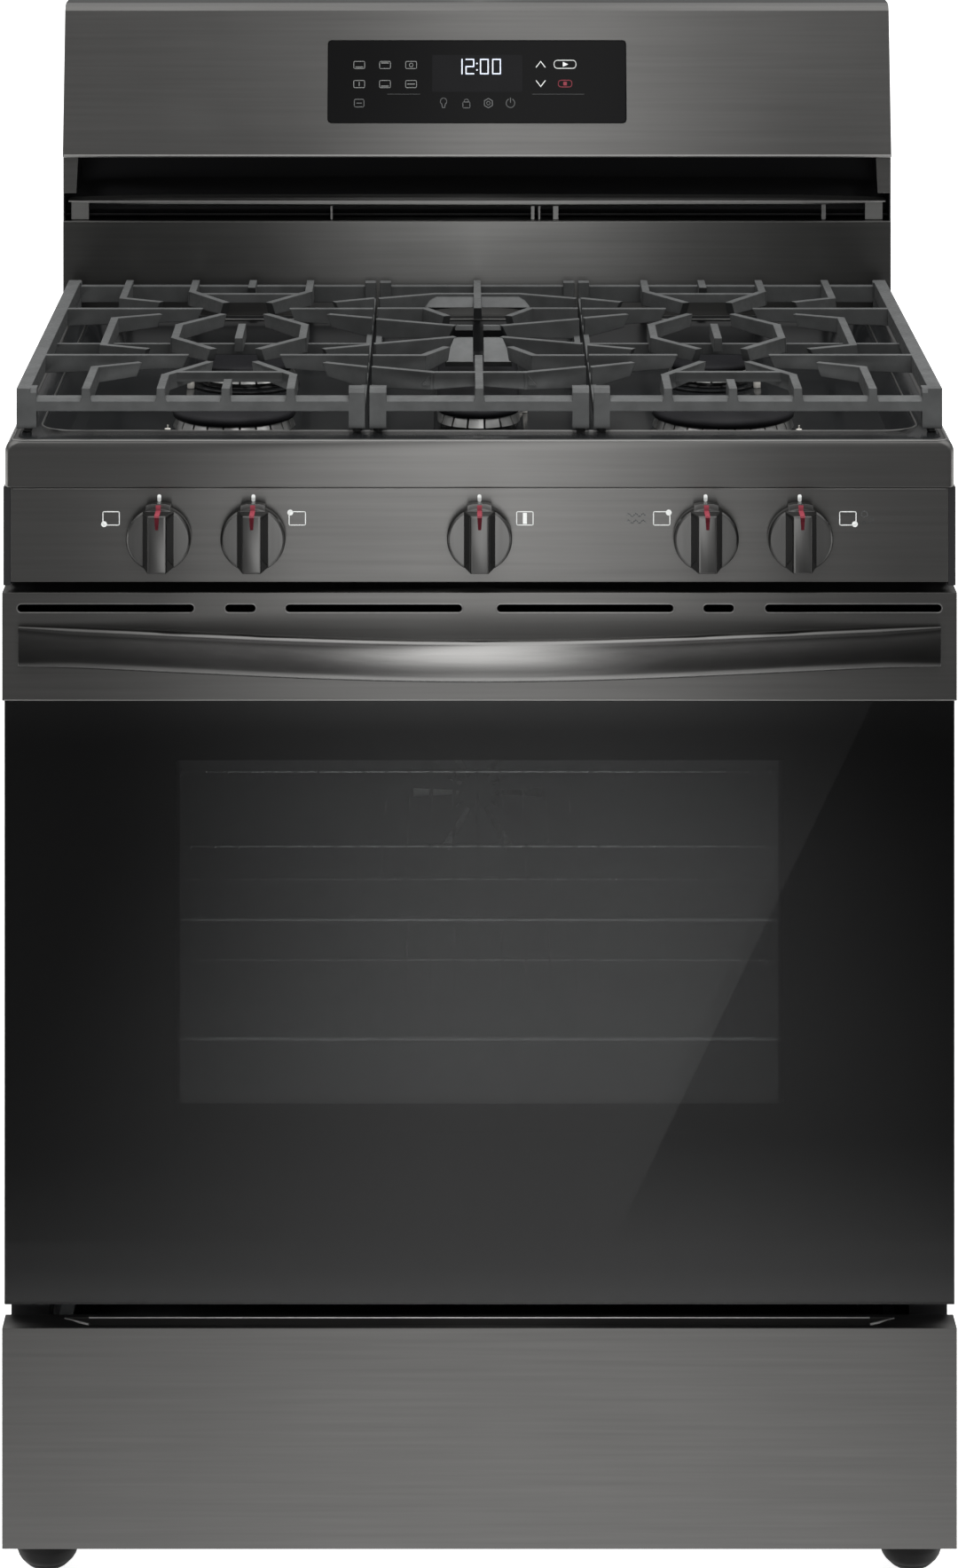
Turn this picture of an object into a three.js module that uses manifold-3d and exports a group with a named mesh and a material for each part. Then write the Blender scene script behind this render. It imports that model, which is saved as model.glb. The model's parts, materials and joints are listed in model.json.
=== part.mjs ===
// Freestanding five-burner gas range, built as an assembly of separate pieces.
// Millimetres, +Z up, the front faces -Y. The origin is on the floor, in the middle of the overall box.
// Pieces are modelled in (x, d, z), where d is the distance behind the front face of the oven door.
import * as THREE from 'three';
import { mergeVertices } from 'three/addons/utils/BufferGeometryUtils.js';
import Module from 'manifold-3d';

const wasm = await Module();
wasm.setup();

// ---------------------------------------------------------------- driving dimensions
const BODY_DEPTH = 650; // door face to the rear of the range
const HANDLE_REACH = 58; // how far the bowed handle stands in front of the door face
const DOOR_FACE_Y = HANDLE_REACH - (BODY_DEPTH + HANDLE_REACH) / 2;
const FRONT_HALF = 379.3; // half width of the door trim and the drawer front
const BODY_HALF = 377; // half width over the side panels
const SHEET = 1.2; // sheet metal thickness
const GAP = 0.3; // clearance between pieces that touch
const SEAM = 0.5; // visible seam between trim pieces

const Z_BASE = 44; // underside of the body, the height of the feet
const Z_DRAWER_TOP = 219.2;
const Z_DOOR_BOTTOM = 238.2;
const Z_TRIM_BOTTOM = 717.6; // lower edge of the metal band across the door top
const Z_DOOR_TOP = 803.4;
const Z_PANEL_BOTTOM = 811.5; // knob panel
const Z_SKIRT_BOTTOM = 887; // lower edge of the cooktop
const Z_RIM = 924.5; // top of the cooktop rim
const Z_WELL = 893; // floor of the cooktop well
const Z_GRATE = 959.7; // cooking plane
const Z_TOP = 1205.5; // top of the backguard

const FRAME_D = 50.5; // front face of the body behind the door
const RISER_D = 554; // front face of the backguard riser
const KNOB_Z = 848;
const KNOB_X = [-254.5, -179.7, 0, 179.7, 254.5];
const KNOB_NAMES = ['front_left', 'rear_left', 'center', 'rear_right', 'front_right'];

const GRATE_D = 281; // middle of the grates, measured from the door face
const GRATE_HALF_LENGTH = 251.5;
const BURNER_X = 203.2;
const BURNER_REACH = 107.5; // front and rear burners from the grates' middle

const PIVOT_D = 30; // door hinge pin
const PIVOT_Z = 256;
const HINGE_X = 337;

const CAVITY = { half: 300, front: 61, back: 530, bottom: 290, top: 725 };
const RACK_Z = [523, 426];
const RACK_PITCH = 48.5;

// ---------------------------------------------------------------- materials
function finish(color, roughness, metalness) {
  return new THREE.MeshStandardMaterial({ color, roughness, metalness });
}

const blackSteel = finish(0x4b4b49, 0.35, 0.9);
const blackPaint = finish(0x151515, 0.5, 0.1);
const porcelain = finish(0x101112, 0.15, 0.0);
const castIron = finish(0x3a3b3b, 0.6, 0.2);
const aluminium = finish(0xb9bab8, 0.4, 0.9);
const galvanized = finish(0x8d9192, 0.5, 0.8);
const chromeWire = finish(0xa9aaa9, 0.25, 1.0);
const darkGlass = finish(0x0b0c0d, 0.05, 0.0);
const knobMetal = finish(0x474846, 0.4, 0.8);
const brass = finish(0xb08d45, 0.35, 0.9);
const rubber = finish(0x121212, 0.8, 0.0);
const gasketBraid = finish(0x6b6a66, 0.9, 0.0);

// ---------------------------------------------------------------- solids
const v2 = (x, y) => new THREE.Vector2(x, y);
const v3 = (x, y, z) => new THREE.Vector3(x, y, z);

// A closed geometry as a manifold solid, with its faces pointing out.
function solid(geometry) {
  geometry.deleteAttribute('normal');
  geometry.deleteAttribute('uv');
  const merged = mergeVertices(geometry, 1e-4);
  const index = merged.index.array;
  const faces = [];
  for (let i = 0; i < index.length; i += 3) {
    const [a, b, c] = [index[i], index[i + 1], index[i + 2]];
    if (a !== b && b !== c && a !== c) faces.push(a, b, c);
  }
  const vertProperties = new Float32Array(merged.attributes.position.array);
  const build = (list) =>
    new wasm.Manifold(new wasm.Mesh({ numProp: 3, vertProperties, triVerts: new Uint32Array(list) }));
  const made = build(faces);
  return made.volume() < 0 ? build(faces.reverse()) : made;
}

function box(x0, x1, d0, d1, z0, z1) {
  const geometry = new THREE.BoxGeometry(x1 - x0, d1 - d0, z1 - z0);
  geometry.translate((x0 + x1) / 2, (d0 + d1) / 2, (z0 + z1) / 2);
  return solid(geometry);
}

// The same box on the left and on the right.
function boxPair(x0, x1, d0, d1, z0, z1) {
  return box(x0, x1, d0, d1, z0, z1).add(box(-x1, -x0, d0, d1, z0, z1));
}

function union(parts) {
  return parts.reduce((sum, part) => sum.add(part));
}

function prism(points, length) {
  const shape = new THREE.Shape(points.map(([a, b]) => v2(a, b)));
  return new THREE.ExtrudeGeometry(shape, { depth: length, bevelEnabled: false });
}

// An outline of (d, z) points drawn out along X.
function alongX(points, x0, x1) {
  const geometry = prism(points, x1 - x0);
  geometry.applyMatrix4(new THREE.Matrix4().makeBasis(v3(0, 1, 0), v3(0, 0, 1), v3(1, 0, 0)));
  geometry.translate(x0, 0, 0);
  return solid(geometry);
}

// An outline of (x, z) points drawn out along the depth.
function alongD(points, d0, d1) {
  const geometry = prism(points, d1 - d0);
  geometry.applyMatrix4(new THREE.Matrix4().makeBasis(v3(1, 0, 0), v3(0, 0, 1), v3(0, -1, 0)));
  geometry.translate(0, d1, 0);
  return solid(geometry);
}

// An outline of (x, d) points drawn out along Z.
function alongZ(points, z0, z1) {
  const geometry = prism(points, z1 - z0);
  geometry.translate(0, 0, z0);
  return solid(geometry);
}

// A closed skin through rings of points that all have the same count.
function loft(rings) {
  const count = rings[0].length;
  const positions = rings.flat().flatMap((p) => [p.x, p.y, p.z]);
  const faces = [];
  for (let r = 0; r + 1 < rings.length; r++) {
    for (let i = 0; i < count; i++) {
      const a = r * count + i;
      const b = r * count + ((i + 1) % count);
      faces.push(a, b, b + count, a, b + count, a + count);
    }
  }
  const last = (rings.length - 1) * count;
  for (let i = 1; i + 1 < count; i++) {
    faces.push(0, i + 1, i, last, last + i, last + i + 1);
  }
  const geometry = new THREE.BufferGeometry();
  geometry.setAttribute('position', new THREE.Float32BufferAttribute(positions, 3));
  geometry.setIndex(faces);
  return solid(geometry);
}

// A turned piece about a vertical axis at (x, d), from (radius, z) points.
function turned(profile, x, d, segments = 24) {
  const geometry = new THREE.LatheGeometry(profile.map(([r, z]) => v2(r, z)), segments);
  geometry.rotateX(Math.PI / 2);
  geometry.translate(x, d, 0);
  return solid(geometry);
}

// A turned piece about an axis along the depth at (x, z), from (radius, d) points.
function turnedD(profile, x, z, segments = 20) {
  const geometry = new THREE.LatheGeometry(profile.map(([r, d]) => v2(r, d)), segments);
  geometry.translate(x, 0, z);
  return solid(geometry);
}

function rod(radius, from, to, segments = 10) {
  const axis = v3(...to).sub(v3(...from));
  const geometry = new THREE.CylinderGeometry(radius, radius, axis.length(), segments);
  geometry.applyQuaternion(new THREE.Quaternion().setFromUnitVectors(v3(0, 1, 0), axis.clone().normalize()));
  geometry.translate(...v3(...from).add(v3(...to)).multiplyScalar(0.5).toArray());
  return solid(geometry);
}

// Corner-rounded rectangle as points, anticlockwise, with the given number of steps in each corner.
function roundedRect(x0, x1, y0, y1, radius, steps = 3) {
  const corners = [
    [x1 - radius, y0 + radius, -Math.PI / 2],
    [x1 - radius, y1 - radius, 0],
    [x0 + radius, y1 - radius, Math.PI / 2],
    [x0 + radius, y0 + radius, Math.PI],
  ];
  const points = [];
  for (const [cx, cy, start] of corners) {
    for (let i = 0; i <= steps; i++) {
      const angle = start + (i / steps) * (Math.PI / 2);
      points.push([cx + radius * Math.cos(angle), cy + radius * Math.sin(angle)]);
    }
  }
  return points;
}

const ringAt = (points, z) => points.map(([x, d]) => v3(x, d, z));

// ---------------------------------------------------------------- assembly
const range = new THREE.Group();
const bench = new THREE.Group();
bench.position.y = DOOR_FACE_Y;
range.add(bench);

function place(name, part, material) {
  const { numProp, vertProperties, triVerts } = part.getMesh();
  const positions = new Float32Array((vertProperties.length / numProp) * 3);
  for (let i = 0; i * numProp < vertProperties.length; i++) {
    positions.set(vertProperties.subarray(i * numProp, i * numProp + 3), i * 3);
  }
  const geometry = new THREE.BufferGeometry();
  geometry.setAttribute('position', new THREE.BufferAttribute(positions, 3));
  geometry.setIndex(new THREE.BufferAttribute(triVerts, 1));
  const mesh = new THREE.Mesh(geometry, material);
  mesh.name = name;
  bench.add(mesh);
}

// ---------------------------------------------------------------- body
const FRAME_BACK = FRAME_D + 1.5;
const BODY_BACK = BODY_DEPTH - SHEET;
const FOOT_X = 349;
const FOOT_D = [68, 600];
const SIDES = [['left', -1], ['right', 1]];

function sidePanel(side) {
  const outer = BODY_HALF;
  const inner = BODY_HALF - SHEET;
  const top = Z_SKIRT_BOTTOM - SEAM;
  const flange = 18;
  const parts = [
    [inner, outer, FRAME_BACK + GAP, BODY_BACK, Z_BASE, top],
    [inner - flange, inner, BODY_BACK - 2 * SHEET - SEAM, BODY_BACK - SHEET - SEAM, Z_BASE + 40, top],
  ].map(([a, b, ...rest]) => (side > 0 ? box(a, b, ...rest) : box(-b, -a, ...rest)));
  return union(parts);
}

function frontFrame() {
  const half = BODY_HALF - SHEET - GAP;
  const { half: mouth, bottom, top } = CAVITY;
  const lip = 4;
  const drawerMouth = { half: 346, top: 225 };
  const ear = { inner: 372.8, outer: 378.6, front: 3, top: Z_SKIRT_BOTTOM - SEAM };
  const slot = { half: 5, bottom: 246, top: 267 };
  const plate = box(-half, half, FRAME_D, FRAME_BACK, Z_BASE + 26, Z_PANEL_BOTTOM - SEAM);
  const shelf = box(-half, half, FRAME_D, FRAME_BACK + 16, Z_PANEL_BOTTOM - 3, Z_PANEL_BOTTOM - SEAM);
  const oven = box(-mouth + lip, mouth - lip, 0, 100, bottom + lip, top - lip);
  const drawer = box(-drawerMouth.half, drawerMouth.half, 0, 100, 0, drawerMouth.top);
  const hinges = boxPair(HINGE_X - slot.half, HINGE_X + slot.half, 0, 100, slot.bottom, slot.top);
  const ears = boxPair(ear.inner, ear.outer, ear.front, FRAME_BACK, Z_PANEL_BOTTOM - 3, ear.top);
  const backs = boxPair(360, 376, FRAME_D, FRAME_BACK, Z_PANEL_BOTTOM - 3, ear.top);
  return plate.add(shelf).subtract(oven).subtract(drawer).subtract(hinges).add(ears).add(backs);
}

// Two side channels with a ledge for the drawer, tied by angles at the front and the rear.
function baseFrame() {
  const outer = BODY_HALF - SHEET - GAP;
  const front = FRAME_BACK + GAP;
  const back = BODY_BACK - 2 * SHEET - 2 * SEAM;
  const [inner, step, wall] = [318, 347, 1.5];
  const base = Z_BASE;
  const channel = [[inner, base], [outer, base], [outer, base + 24], [outer - wall, base + 24],
    [outer - wall, base + wall], [step, base + wall], [step, base + 12], [inner, base + 12],
    [inner, base + 12 - wall], [step - wall, base + 12 - wall], [step - wall, base + wall], [inner, base + wall]];
  const right = alongD(channel, front, back);
  const rear = box(-outer + 1, outer - 1, back - wall, back, base, base + 22);
  const rearFlange = box(-inner - 1, inner + 1, back - 30, back, base, base + wall + 0.3);
  const cross = box(-inner - 1, inner + 1, front, front + 26, base, base + wall + 0.3);
  return union([right, right.mirror([1, 0, 0]), rear, rearFlange, cross]);
}

function foot(x, d) {
  const top = Z_BASE - GAP;
  const profile = [[0, 0], [10, 0], [16, 4], [21, 8.8], [23.5, 12.6], [26, 20], [26, top], [0, top]];
  return turned(profile, x, d, 16);
}

place('side_panel_left', sidePanel(-1), blackPaint);
place('side_panel_right', sidePanel(1), blackPaint);
place('front_frame', frontFrame(), blackPaint);
place('base_frame', baseFrame(), galvanized);
const backOutline = roundedRect(-374.5, 374.5, 70, 886, 4, 1);
const pipePort = roundedRect(-374, -300, 60, 240, 6, 1);
const backPanel = alongD(backOutline, BODY_BACK - SHEET, BODY_BACK).subtract(alongD(pipePort, 600, 700));
place('back_panel', backPanel, galvanized);
for (const [row, d] of [['front', FOOT_D[0]], ['rear', FOOT_D[1]]]) {
  for (const [hand, sign] of SIDES) place(`foot_${row}_${hand}`, foot(sign * FOOT_X, d), rubber);
}

// ---------------------------------------------------------------- oven
function ovenLiner() {
  const { half, front, back, bottom, top } = CAVITY;
  const wall = SHEET;
  const shell = box(-half - wall, half + wall, front - 6, back + wall, bottom - wall, top + wall);
  const room = box(-half, half, 0, back, bottom, top);
  const flange = box(-half - 14, half + 14, front - 7, front - 5, bottom - 14, top + 14).subtract(room);
  const ledges = [];
  for (let level = -1; level < 4; level++) {
    const z = RACK_Z[1] - 5 + level * RACK_PITCH;
    ledges.push(boxPair(half - 9, half + 1, front + 8, back - 14, z - 7, z - GAP));
  }
  const floorLedge = boxPair(half - 8, half + 1, front + 4, back - 6, 304, 310.5);
  const shaftHole = rod(7, [0, back - 5, 500], [0, back + 10, 500], 12);
  return shell.subtract(room).add(flange).add(union(ledges)).add(floorLedge).subtract(shaftHole);
}

function ovenFloor() {
  const plate = box(-296, 296, 67, 522, 310.8, 310.8 + SHEET);
  const lip = box(-296, 296, 67, 67 + SHEET, 310.8, 318);
  const slots = boxPair(262, 272, 110, 480, 300, 320);
  return plate.add(lip).subtract(slots);
}

// A wire rack: side, front, middle and rear wires with runners between them.
function rack(z) {
  const wire = 4.6;
  const half = 288.5;
  const front = 75;
  const back = 510;
  const across = [front, 281, back - wire].map((d) => box(-half, half, d, d + wire, z - wire, z));
  const runners = [];
  for (let i = -6; i <= 6; i++) {
    runners.push(box(i * 41 - wire / 2, i * 41 + wire / 2, front, back, z - wire, z));
  }
  const sides = boxPair(half - wire, half + 5, front, back, z - wire, z);
  return union([...across, ...runners, sides]);
}

// A burner tube bent in a U, open side to the rear.
function bakeBurner() {
  const corners = [[-110, 505], [-110, 160], [-60, 110], [60, 110], [110, 160], [110, 505]];
  const points = corners.map(([x, d]) => v3(x, d, 300));
  const path = new THREE.CatmullRomCurve3(points, false, 'catmullrom', 0.3);
  const section = new THREE.Shape();
  section.absarc(0, 0, 8, 0, 2 * Math.PI);
  return solid(new THREE.ExtrudeGeometry(section, { steps: 20, curveSegments: 4, extrudePath: path }));
}

function broilBurner() {
  const trough = [[-62, 722], [-62, 712], [-48, 703], [48, 703], [62, 712], [62, 722]];
  return alongD(trough, 110, 470);
}

// A dished cover with radial slots, over the fan on the rear wall.
function fanCover() {
  const { back } = CAVITY;
  const rim = 92;
  const face = back - 15;
  const dish = turnedD([[0, face], [80, face], [rim, back - 6], [rim, back - GAP], [rim - 3, back - GAP],
    [rim - 3, back - 5], [78, face + SHEET], [0, face + SHEET]], 0, 500, 24);
  const slots = [];
  for (let i = 0; i < 12; i++) {
    const angle = (i / 12) * 2 * Math.PI;
    const at = (r, a) => v3(r * Math.cos(a), 0, 500 + r * Math.sin(a));
    const outline = [at(16, angle - 0.12), at(58, angle - 0.07), at(58, angle + 0.07), at(16, angle + 0.12)];
    const ring = (d) => outline.map((p) => v3(p.x, d, p.z));
    slots.push(loft([ring(face - 2), ring(face + 4)]));
  }
  return dish.subtract(union(slots));
}

function convectionFan() {
  const { back } = CAVITY;
  const front = back - 10.5;
  const hub = rod(13, [0, front, 500], [0, back - 2.5, 500], 16);
  const shaft = rod(4, [0, back - 4, 500], [0, back + 34, 500], 12);
  const blades = [];
  for (let i = 0; i < 6; i++) {
    const angle = (i / 6) * 2 * Math.PI;
    const across = v3(-Math.sin(angle), 0, Math.cos(angle));
    const out = v3(Math.cos(angle), 0, Math.sin(angle));
    const section = [[-1, front + 5.5], [-1, front + 7], [1, front + 2.5], [1, front + 1]];
    const ring = (r, half) => section.map(
      ([t, d]) => v3(out.x * r + across.x * t * half, d, 500 + out.z * r + across.z * t * half));
    blades.push(loft([ring(8, 6), ring(62, 15)]));
  }
  return union([hub, shaft, ...blades]);
}

function doorGasket() {
  const { half, bottom, top } = CAVITY;
  const outer = roundedRect(-half - 12, half + 12, bottom - 12, top + 12, 26);
  const inner = roundedRect(-half, half, bottom, top, 16);
  return alongD(outer, 42.6, FRAME_D - GAP).subtract(alongD(inner, 40, 60));
}

place('oven_liner', ovenLiner(), porcelain);
place('oven_floor', ovenFloor(), porcelain);
place('rack_upper', rack(RACK_Z[0]), chromeWire);
place('rack_lower', rack(RACK_Z[1]), chromeWire);
place('bake_burner', bakeBurner(), aluminium);
place('broil_burner', broilBurner(), aluminium);
place('fan_cover', fanCover(), porcelain);
place('convection_fan', convectionFan(), aluminium);
place('door_gasket', doorGasket(), gasketBraid);

// ---------------------------------------------------------------- oven door
const TRIM_SLOTS = [[84, 70], [190, 12], [297, 70]]; // centre and half length of the vent slots

function doorTopPanel() {
  const z0 = Z_TRIM_BOTTOM;
  const z1 = Z_DOOR_TOP;
  const profile = [[0, z0], [4.7, z0], [4.7, z0 + SHEET], [SHEET, z0 + SHEET], [SHEET, z1 - SHEET],
    [40, z1 - SHEET], [40, z1], [0, z1]];
  const ends = boxPair(FRONT_HALF - SHEET, FRONT_HALF, 0, 40, z0, z1);
  const slots = TRIM_SLOTS.flatMap(([center, half]) => [-1, 1].map((sign) => {
    const x = sign * center;
    return alongD(roundedRect(x - half, x + half, 788, 794, 2.9, 3), -5, 10);
  }));
  return alongX(profile, -FRONT_HALF, FRONT_HALF).add(ends).subtract(union(slots));
}

// The door's inner pan, open to the front, with the window and the hinge pockets cut out.
function doorLiner() {
  const half = 376.8;
  const bottom = 246;
  const top = 799;
  const rear = 42;
  const pan = box(-half, half, 5, rear, bottom, top);
  const inside = box(-half + SHEET, half - SHEET, 0, rear - SHEET, bottom + SHEET, top - SHEET);
  const window = alongD(roundedRect(-243, 243, 392, 676, 14), 30, 60);
  const pockets = boxPair(HINGE_X - 8.5, HINGE_X + 8.5, 18, 60, 240, 268);
  return pan.subtract(inside).subtract(window).subtract(pockets);
}

// How far the handle's front stands out at x: low at the ends, bowed in the middle.
function handleReach(x, half) {
  const u = Math.abs(x) / half;
  const bow = 0.66 * Math.cos((Math.PI * u) / 2) + 0.17 * (1 + Math.cos(Math.PI * u));
  return 8 + (HANDLE_REACH - 8) * bow;
}

// A bowed bar with a D section, its ends resting on the door face.
function doorHandle() {
  const half = 366;
  const stations = 20;
  const [zMid, zHalf, thick] = [761.9, 16.35, 15];
  const rings = [];
  for (let i = 0; i <= stations; i++) {
    const x = -half * Math.cos((Math.PI * i) / stations);
    const front = handleReach(x, half);
    const back = Math.max(GAP, front - thick);
    const section = [[back, -0.8], [back, 0.8], [(back + front) / 2, 1], [front - 2.2, 0.8], [front, 0.35],
      [front, -0.35], [front - 2.2, -0.8], [(back + front) / 2, -1]];
    rings.push(section.map(([reach, t]) => v3(x, -reach, zMid + t * zHalf)));
  }
  return loft(rings);
}

// The hinge half inside the door: two cheeks, a web and the pivot pin.
function hingeLeaf(sign) {
  const x = sign * HINGE_X;
  const cheek = [[PIVOT_D - 9, PIVOT_Z - 8], [PIVOT_D + 5, PIVOT_Z - 8], [PIVOT_D + 8, PIVOT_Z],
    [PIVOT_D + 8, 420], [PIVOT_D - 9, 420]];
  const cheeks = alongX(cheek, x - 6, x - 3.4).add(alongX(cheek, x + 3.4, x + 6));
  const web = box(x - 6, x + 6, PIVOT_D - 11, PIVOT_D - 8.6, 276, 420);
  const pin = rod(4, [x - 6.4, PIVOT_D, PIVOT_Z], [x + 6.4, PIVOT_D, PIVOT_Z], 16);
  return union([cheeks, web, pin]);
}

// The hinge arm on the body: an eye round the pin and a hook behind the front frame.
function hingeBracket(sign) {
  const x = sign * HINGE_X;
  const arm = [[PIVOT_D, PIVOT_Z - 6.5], [100, PIVOT_Z - 6.5], [100, PIVOT_Z - 14], [112, PIVOT_Z - 14],
    [112, PIVOT_Z + 8], [PIVOT_D, PIVOT_Z + 6.5]];
  const eye = rod(6.5, [x - 3, PIVOT_D, PIVOT_Z], [x + 3, PIVOT_D, PIVOT_Z], 16);
  const bore = rod(4.4, [x - 9, PIVOT_D, PIVOT_Z], [x + 9, PIVOT_D, PIVOT_Z], 16);
  return alongX(arm, x - 3, x + 3).add(eye).subtract(bore);
}

place('door_top_panel', doorTopPanel(), blackSteel);
place('door_glass', box(-377.2, 377.2, 0.5, 4.7, Z_DOOR_BOTTOM, Z_TRIM_BOTTOM - 0.4), darkGlass);
place('door_liner', doorLiner(), porcelain);
const innerPane = alongD(roundedRect(-250, 250, 385, 683, 8, 1), 36.3, 40.4);
place('door_window_glass', innerPane, darkGlass);
place('door_handle', doorHandle(), blackSteel);
for (const [hand, sign] of SIDES) {
  place(`hinge_leaf_${hand}`, hingeLeaf(sign), galvanized);
  place(`hinge_bracket_${hand}`, hingeBracket(sign), galvanized);
}

// ---------------------------------------------------------------- drawer
function drawerFront() {
  const deep = 28;
  const top = Z_DRAWER_TOP;
  const shell = box(-FRONT_HALF, FRONT_HALF, 0, deep, Z_BASE, top);
  const inside = box(-FRONT_HALF + SHEET, FRONT_HALF - SHEET, SHEET, deep + 1, Z_BASE + SHEET, top - SHEET);
  const pull = alongZ([[-315, 6], [315, 6], [331, 22], [-331, 22]], top - 5, top + 5);
  const grooveBack = box(-331, 331, 22, 22 + SHEET, top - 30, top);
  return shell.subtract(inside).subtract(pull).add(grooveBack);
}

function drawerBox() {
  const [half, front, back, floor] = [340, 28 + GAP, 560, Z_BASE + 12.4];
  const outer = box(-half, half, front, back, floor, 150);
  const inner = box(-half + SHEET, half - SHEET, front + SHEET, back - SHEET, floor + SHEET, 160);
  return outer.subtract(inner);
}

place('drawer_front', drawerFront(), blackSteel);
place('drawer_box', drawerBox(), galvanized);

// ---------------------------------------------------------------- knob panel, valves and knobs
const PANEL_HALF = 372.5;
const PANEL_D = 2;

function knobPanel() {
  const z0 = Z_PANEL_BOTTOM;
  const z1 = Z_SKIRT_BOTTOM - 0.7;
  const profile = [[PANEL_D, z0], [22, z0], [22, z0 + SHEET], [PANEL_D + SHEET, z0 + SHEET],
    [PANEL_D + SHEET, z1 - SHEET], [22, z1 - SHEET], [22, z1], [PANEL_D, z1]];
  const holes = KNOB_X.map((x) => rod(7, [x, -5, KNOB_Z], [x, 10, KNOB_Z], 12));
  return alongX(profile, -PANEL_HALF, PANEL_HALF).subtract(union(holes));
}

// Feed pipe with a valve body at each knob, a branch to the rear and the pressure regulator.
function gasManifold() {
  const pipeD = 58;
  const branchX = -338;
  const across = rod(8, [branchX, pipeD, KNOB_Z], [300, pipeD, KNOB_Z], 10);
  const valves = KNOB_X.map((x) => box(x - 13, x + 13, 22 + GAP, pipeD, KNOB_Z - 15, KNOB_Z + 15));
  const bores = KNOB_X.map((x) => rod(4.6, [x, 20, KNOB_Z], [x, 38, KNOB_Z], 12));
  const back = rod(7, [branchX, pipeD, KNOB_Z], [branchX, 606, KNOB_Z], 10);
  const down = rod(7, [branchX, 600, KNOB_Z], [branchX, 600, 150], 10);
  const regulator = box(branchX - 24, branchX + 24, 574, 626, 130, 178);
  const inlet = rod(13, [branchX, 625, 154], [branchX, 643, 154], 12);
  return union([across, ...valves, back, down, regulator, inlet]).subtract(union(bores));
}

function valveStem(x) {
  const profile = [[0, -17], [4, -17], [4, 9], [5.8, 9], [5.8, 11.5], [4, 11.5], [4, 33], [0, 33]];
  return turnedD(profile, x, KNOB_Z, 12);
}

// A round skirt with a raised index tab, and a wedge grip across it.
function knob(x) {
  const [skirtBack, skirtFront, gripFront] = [-2.5, -12, -31];
  const skirt = turnedD([[0, skirtBack], [25.8, skirtBack], [25.8, skirtFront + 2], [24.6, skirtFront],
    [0, skirtFront]], x, KNOB_Z, 28);
  const gripRing = (d, halfWidth, halfLength) => [v3(x - halfWidth, d, KNOB_Z - halfLength),
    v3(x + halfWidth, d, KNOB_Z - halfLength), v3(x + halfWidth, d, KNOB_Z + halfLength),
    v3(x - halfWidth, d, KNOB_Z + halfLength)];
  const grip = loft([gripRing(skirtFront + 2, 12.2, 22.4), gripRing(gripFront, 6.8, 22.8)]);
  const tab = box(x - 10, x + 10, skirtFront - 0.5, skirtBack - 1, KNOB_Z + 20, KNOB_Z + 28.5);
  const bore = rod(4.4, [x, 5, KNOB_Z], [x, -18, KNOB_Z], 12);
  return union([skirt, grip, tab]).subtract(bore);
}

place('knob_panel', knobPanel(), blackSteel);
place('gas_manifold', gasManifold(), aluminium);
KNOB_X.forEach((x, i) => {
  place(`valve_stem_${KNOB_NAMES[i]}`, valveStem(x), brass);
  place(`knob_${KNOB_NAMES[i]}`, knob(x), knobMetal);
});

// ---------------------------------------------------------------- cooktop
const COOKTOP = { half: 377.6, back: 553.3 };

// A slotted-hole outline: two half circles joined by straight sides along the depth.
function stadium(halfWidth, halfLength, d, steps = 6) {
  const straight = halfLength - halfWidth;
  const points = [];
  for (const [end, start] of [[1, 0], [-1, Math.PI]]) {
    for (let i = 0; i <= steps; i++) {
      const angle = start + (i / steps) * Math.PI;
      points.push([halfWidth * Math.cos(angle), d + end * straight + halfWidth * Math.sin(angle)]);
    }
  }
  return points;
}

// One pressed sheet: a skirt all round, a rim with a rounded edge, and a sloping well with five holes.
function cooktop() {
  const ring = (side, front, radius, z) => ringAt(roundedRect(-COOKTOP.half + side, COOKTOP.half - side,
    front, COOKTOP.back - front, radius), z);
  const outer = loft([ring(0, 0, 6, Z_SKIRT_BOTTOM), ring(0, 0, 6, Z_RIM - 10), ring(1.5, 0.4, 7, Z_RIM - 5),
    ring(5, 1.6, 9, Z_RIM - 1.5), ring(10, 4.5, 11, Z_RIM)]);
  const underside = loft([ring(SHEET, SHEET, 5, Z_SKIRT_BOTTOM - 1), ring(SHEET, SHEET, 5, Z_RIM - 11),
    ring(6.5, 3, 8, Z_RIM - 2.8), ring(11, 6, 10, Z_RIM - SHEET)]);
  const wellAt = (grow, radius) => roundedRect(-352 - grow, 352 + grow, 38 - grow, 530 + grow, radius);
  const well = (skin) => loft([ringAt(wellAt(-14 + skin, 20 + skin), Z_WELL - skin),
    ringAt(wellAt(skin, 30 + skin), Z_RIM + 1)]);
  const holes = burners.map(({ x, d }) => turned([[0, 880], [24, 880], [24, 900], [0, 900]], x, d, 16));
  const slot = alongZ(stadium(18, 60, GRATE_D, 4), 880, 900);
  return outer.subtract(underside.subtract(well(SHEET))).subtract(well(0)).subtract(union([...holes, slot]));
}

const burners = [
  { name: 'front_left', x: -BURNER_X, d: GRATE_D - BURNER_REACH, radius: 49 },
  { name: 'rear_left', x: -BURNER_X, d: GRATE_D + BURNER_REACH, radius: 42 },
  { name: 'rear_right', x: BURNER_X, d: GRATE_D + BURNER_REACH, radius: 35 },
  { name: 'front_right', x: BURNER_X, d: GRATE_D - BURNER_REACH, radius: 57 },
];
const OVAL = { halfWidth: 32.5, halfLength: 121 };
const Z_HEAD = 909; // top of the burner heads

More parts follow.
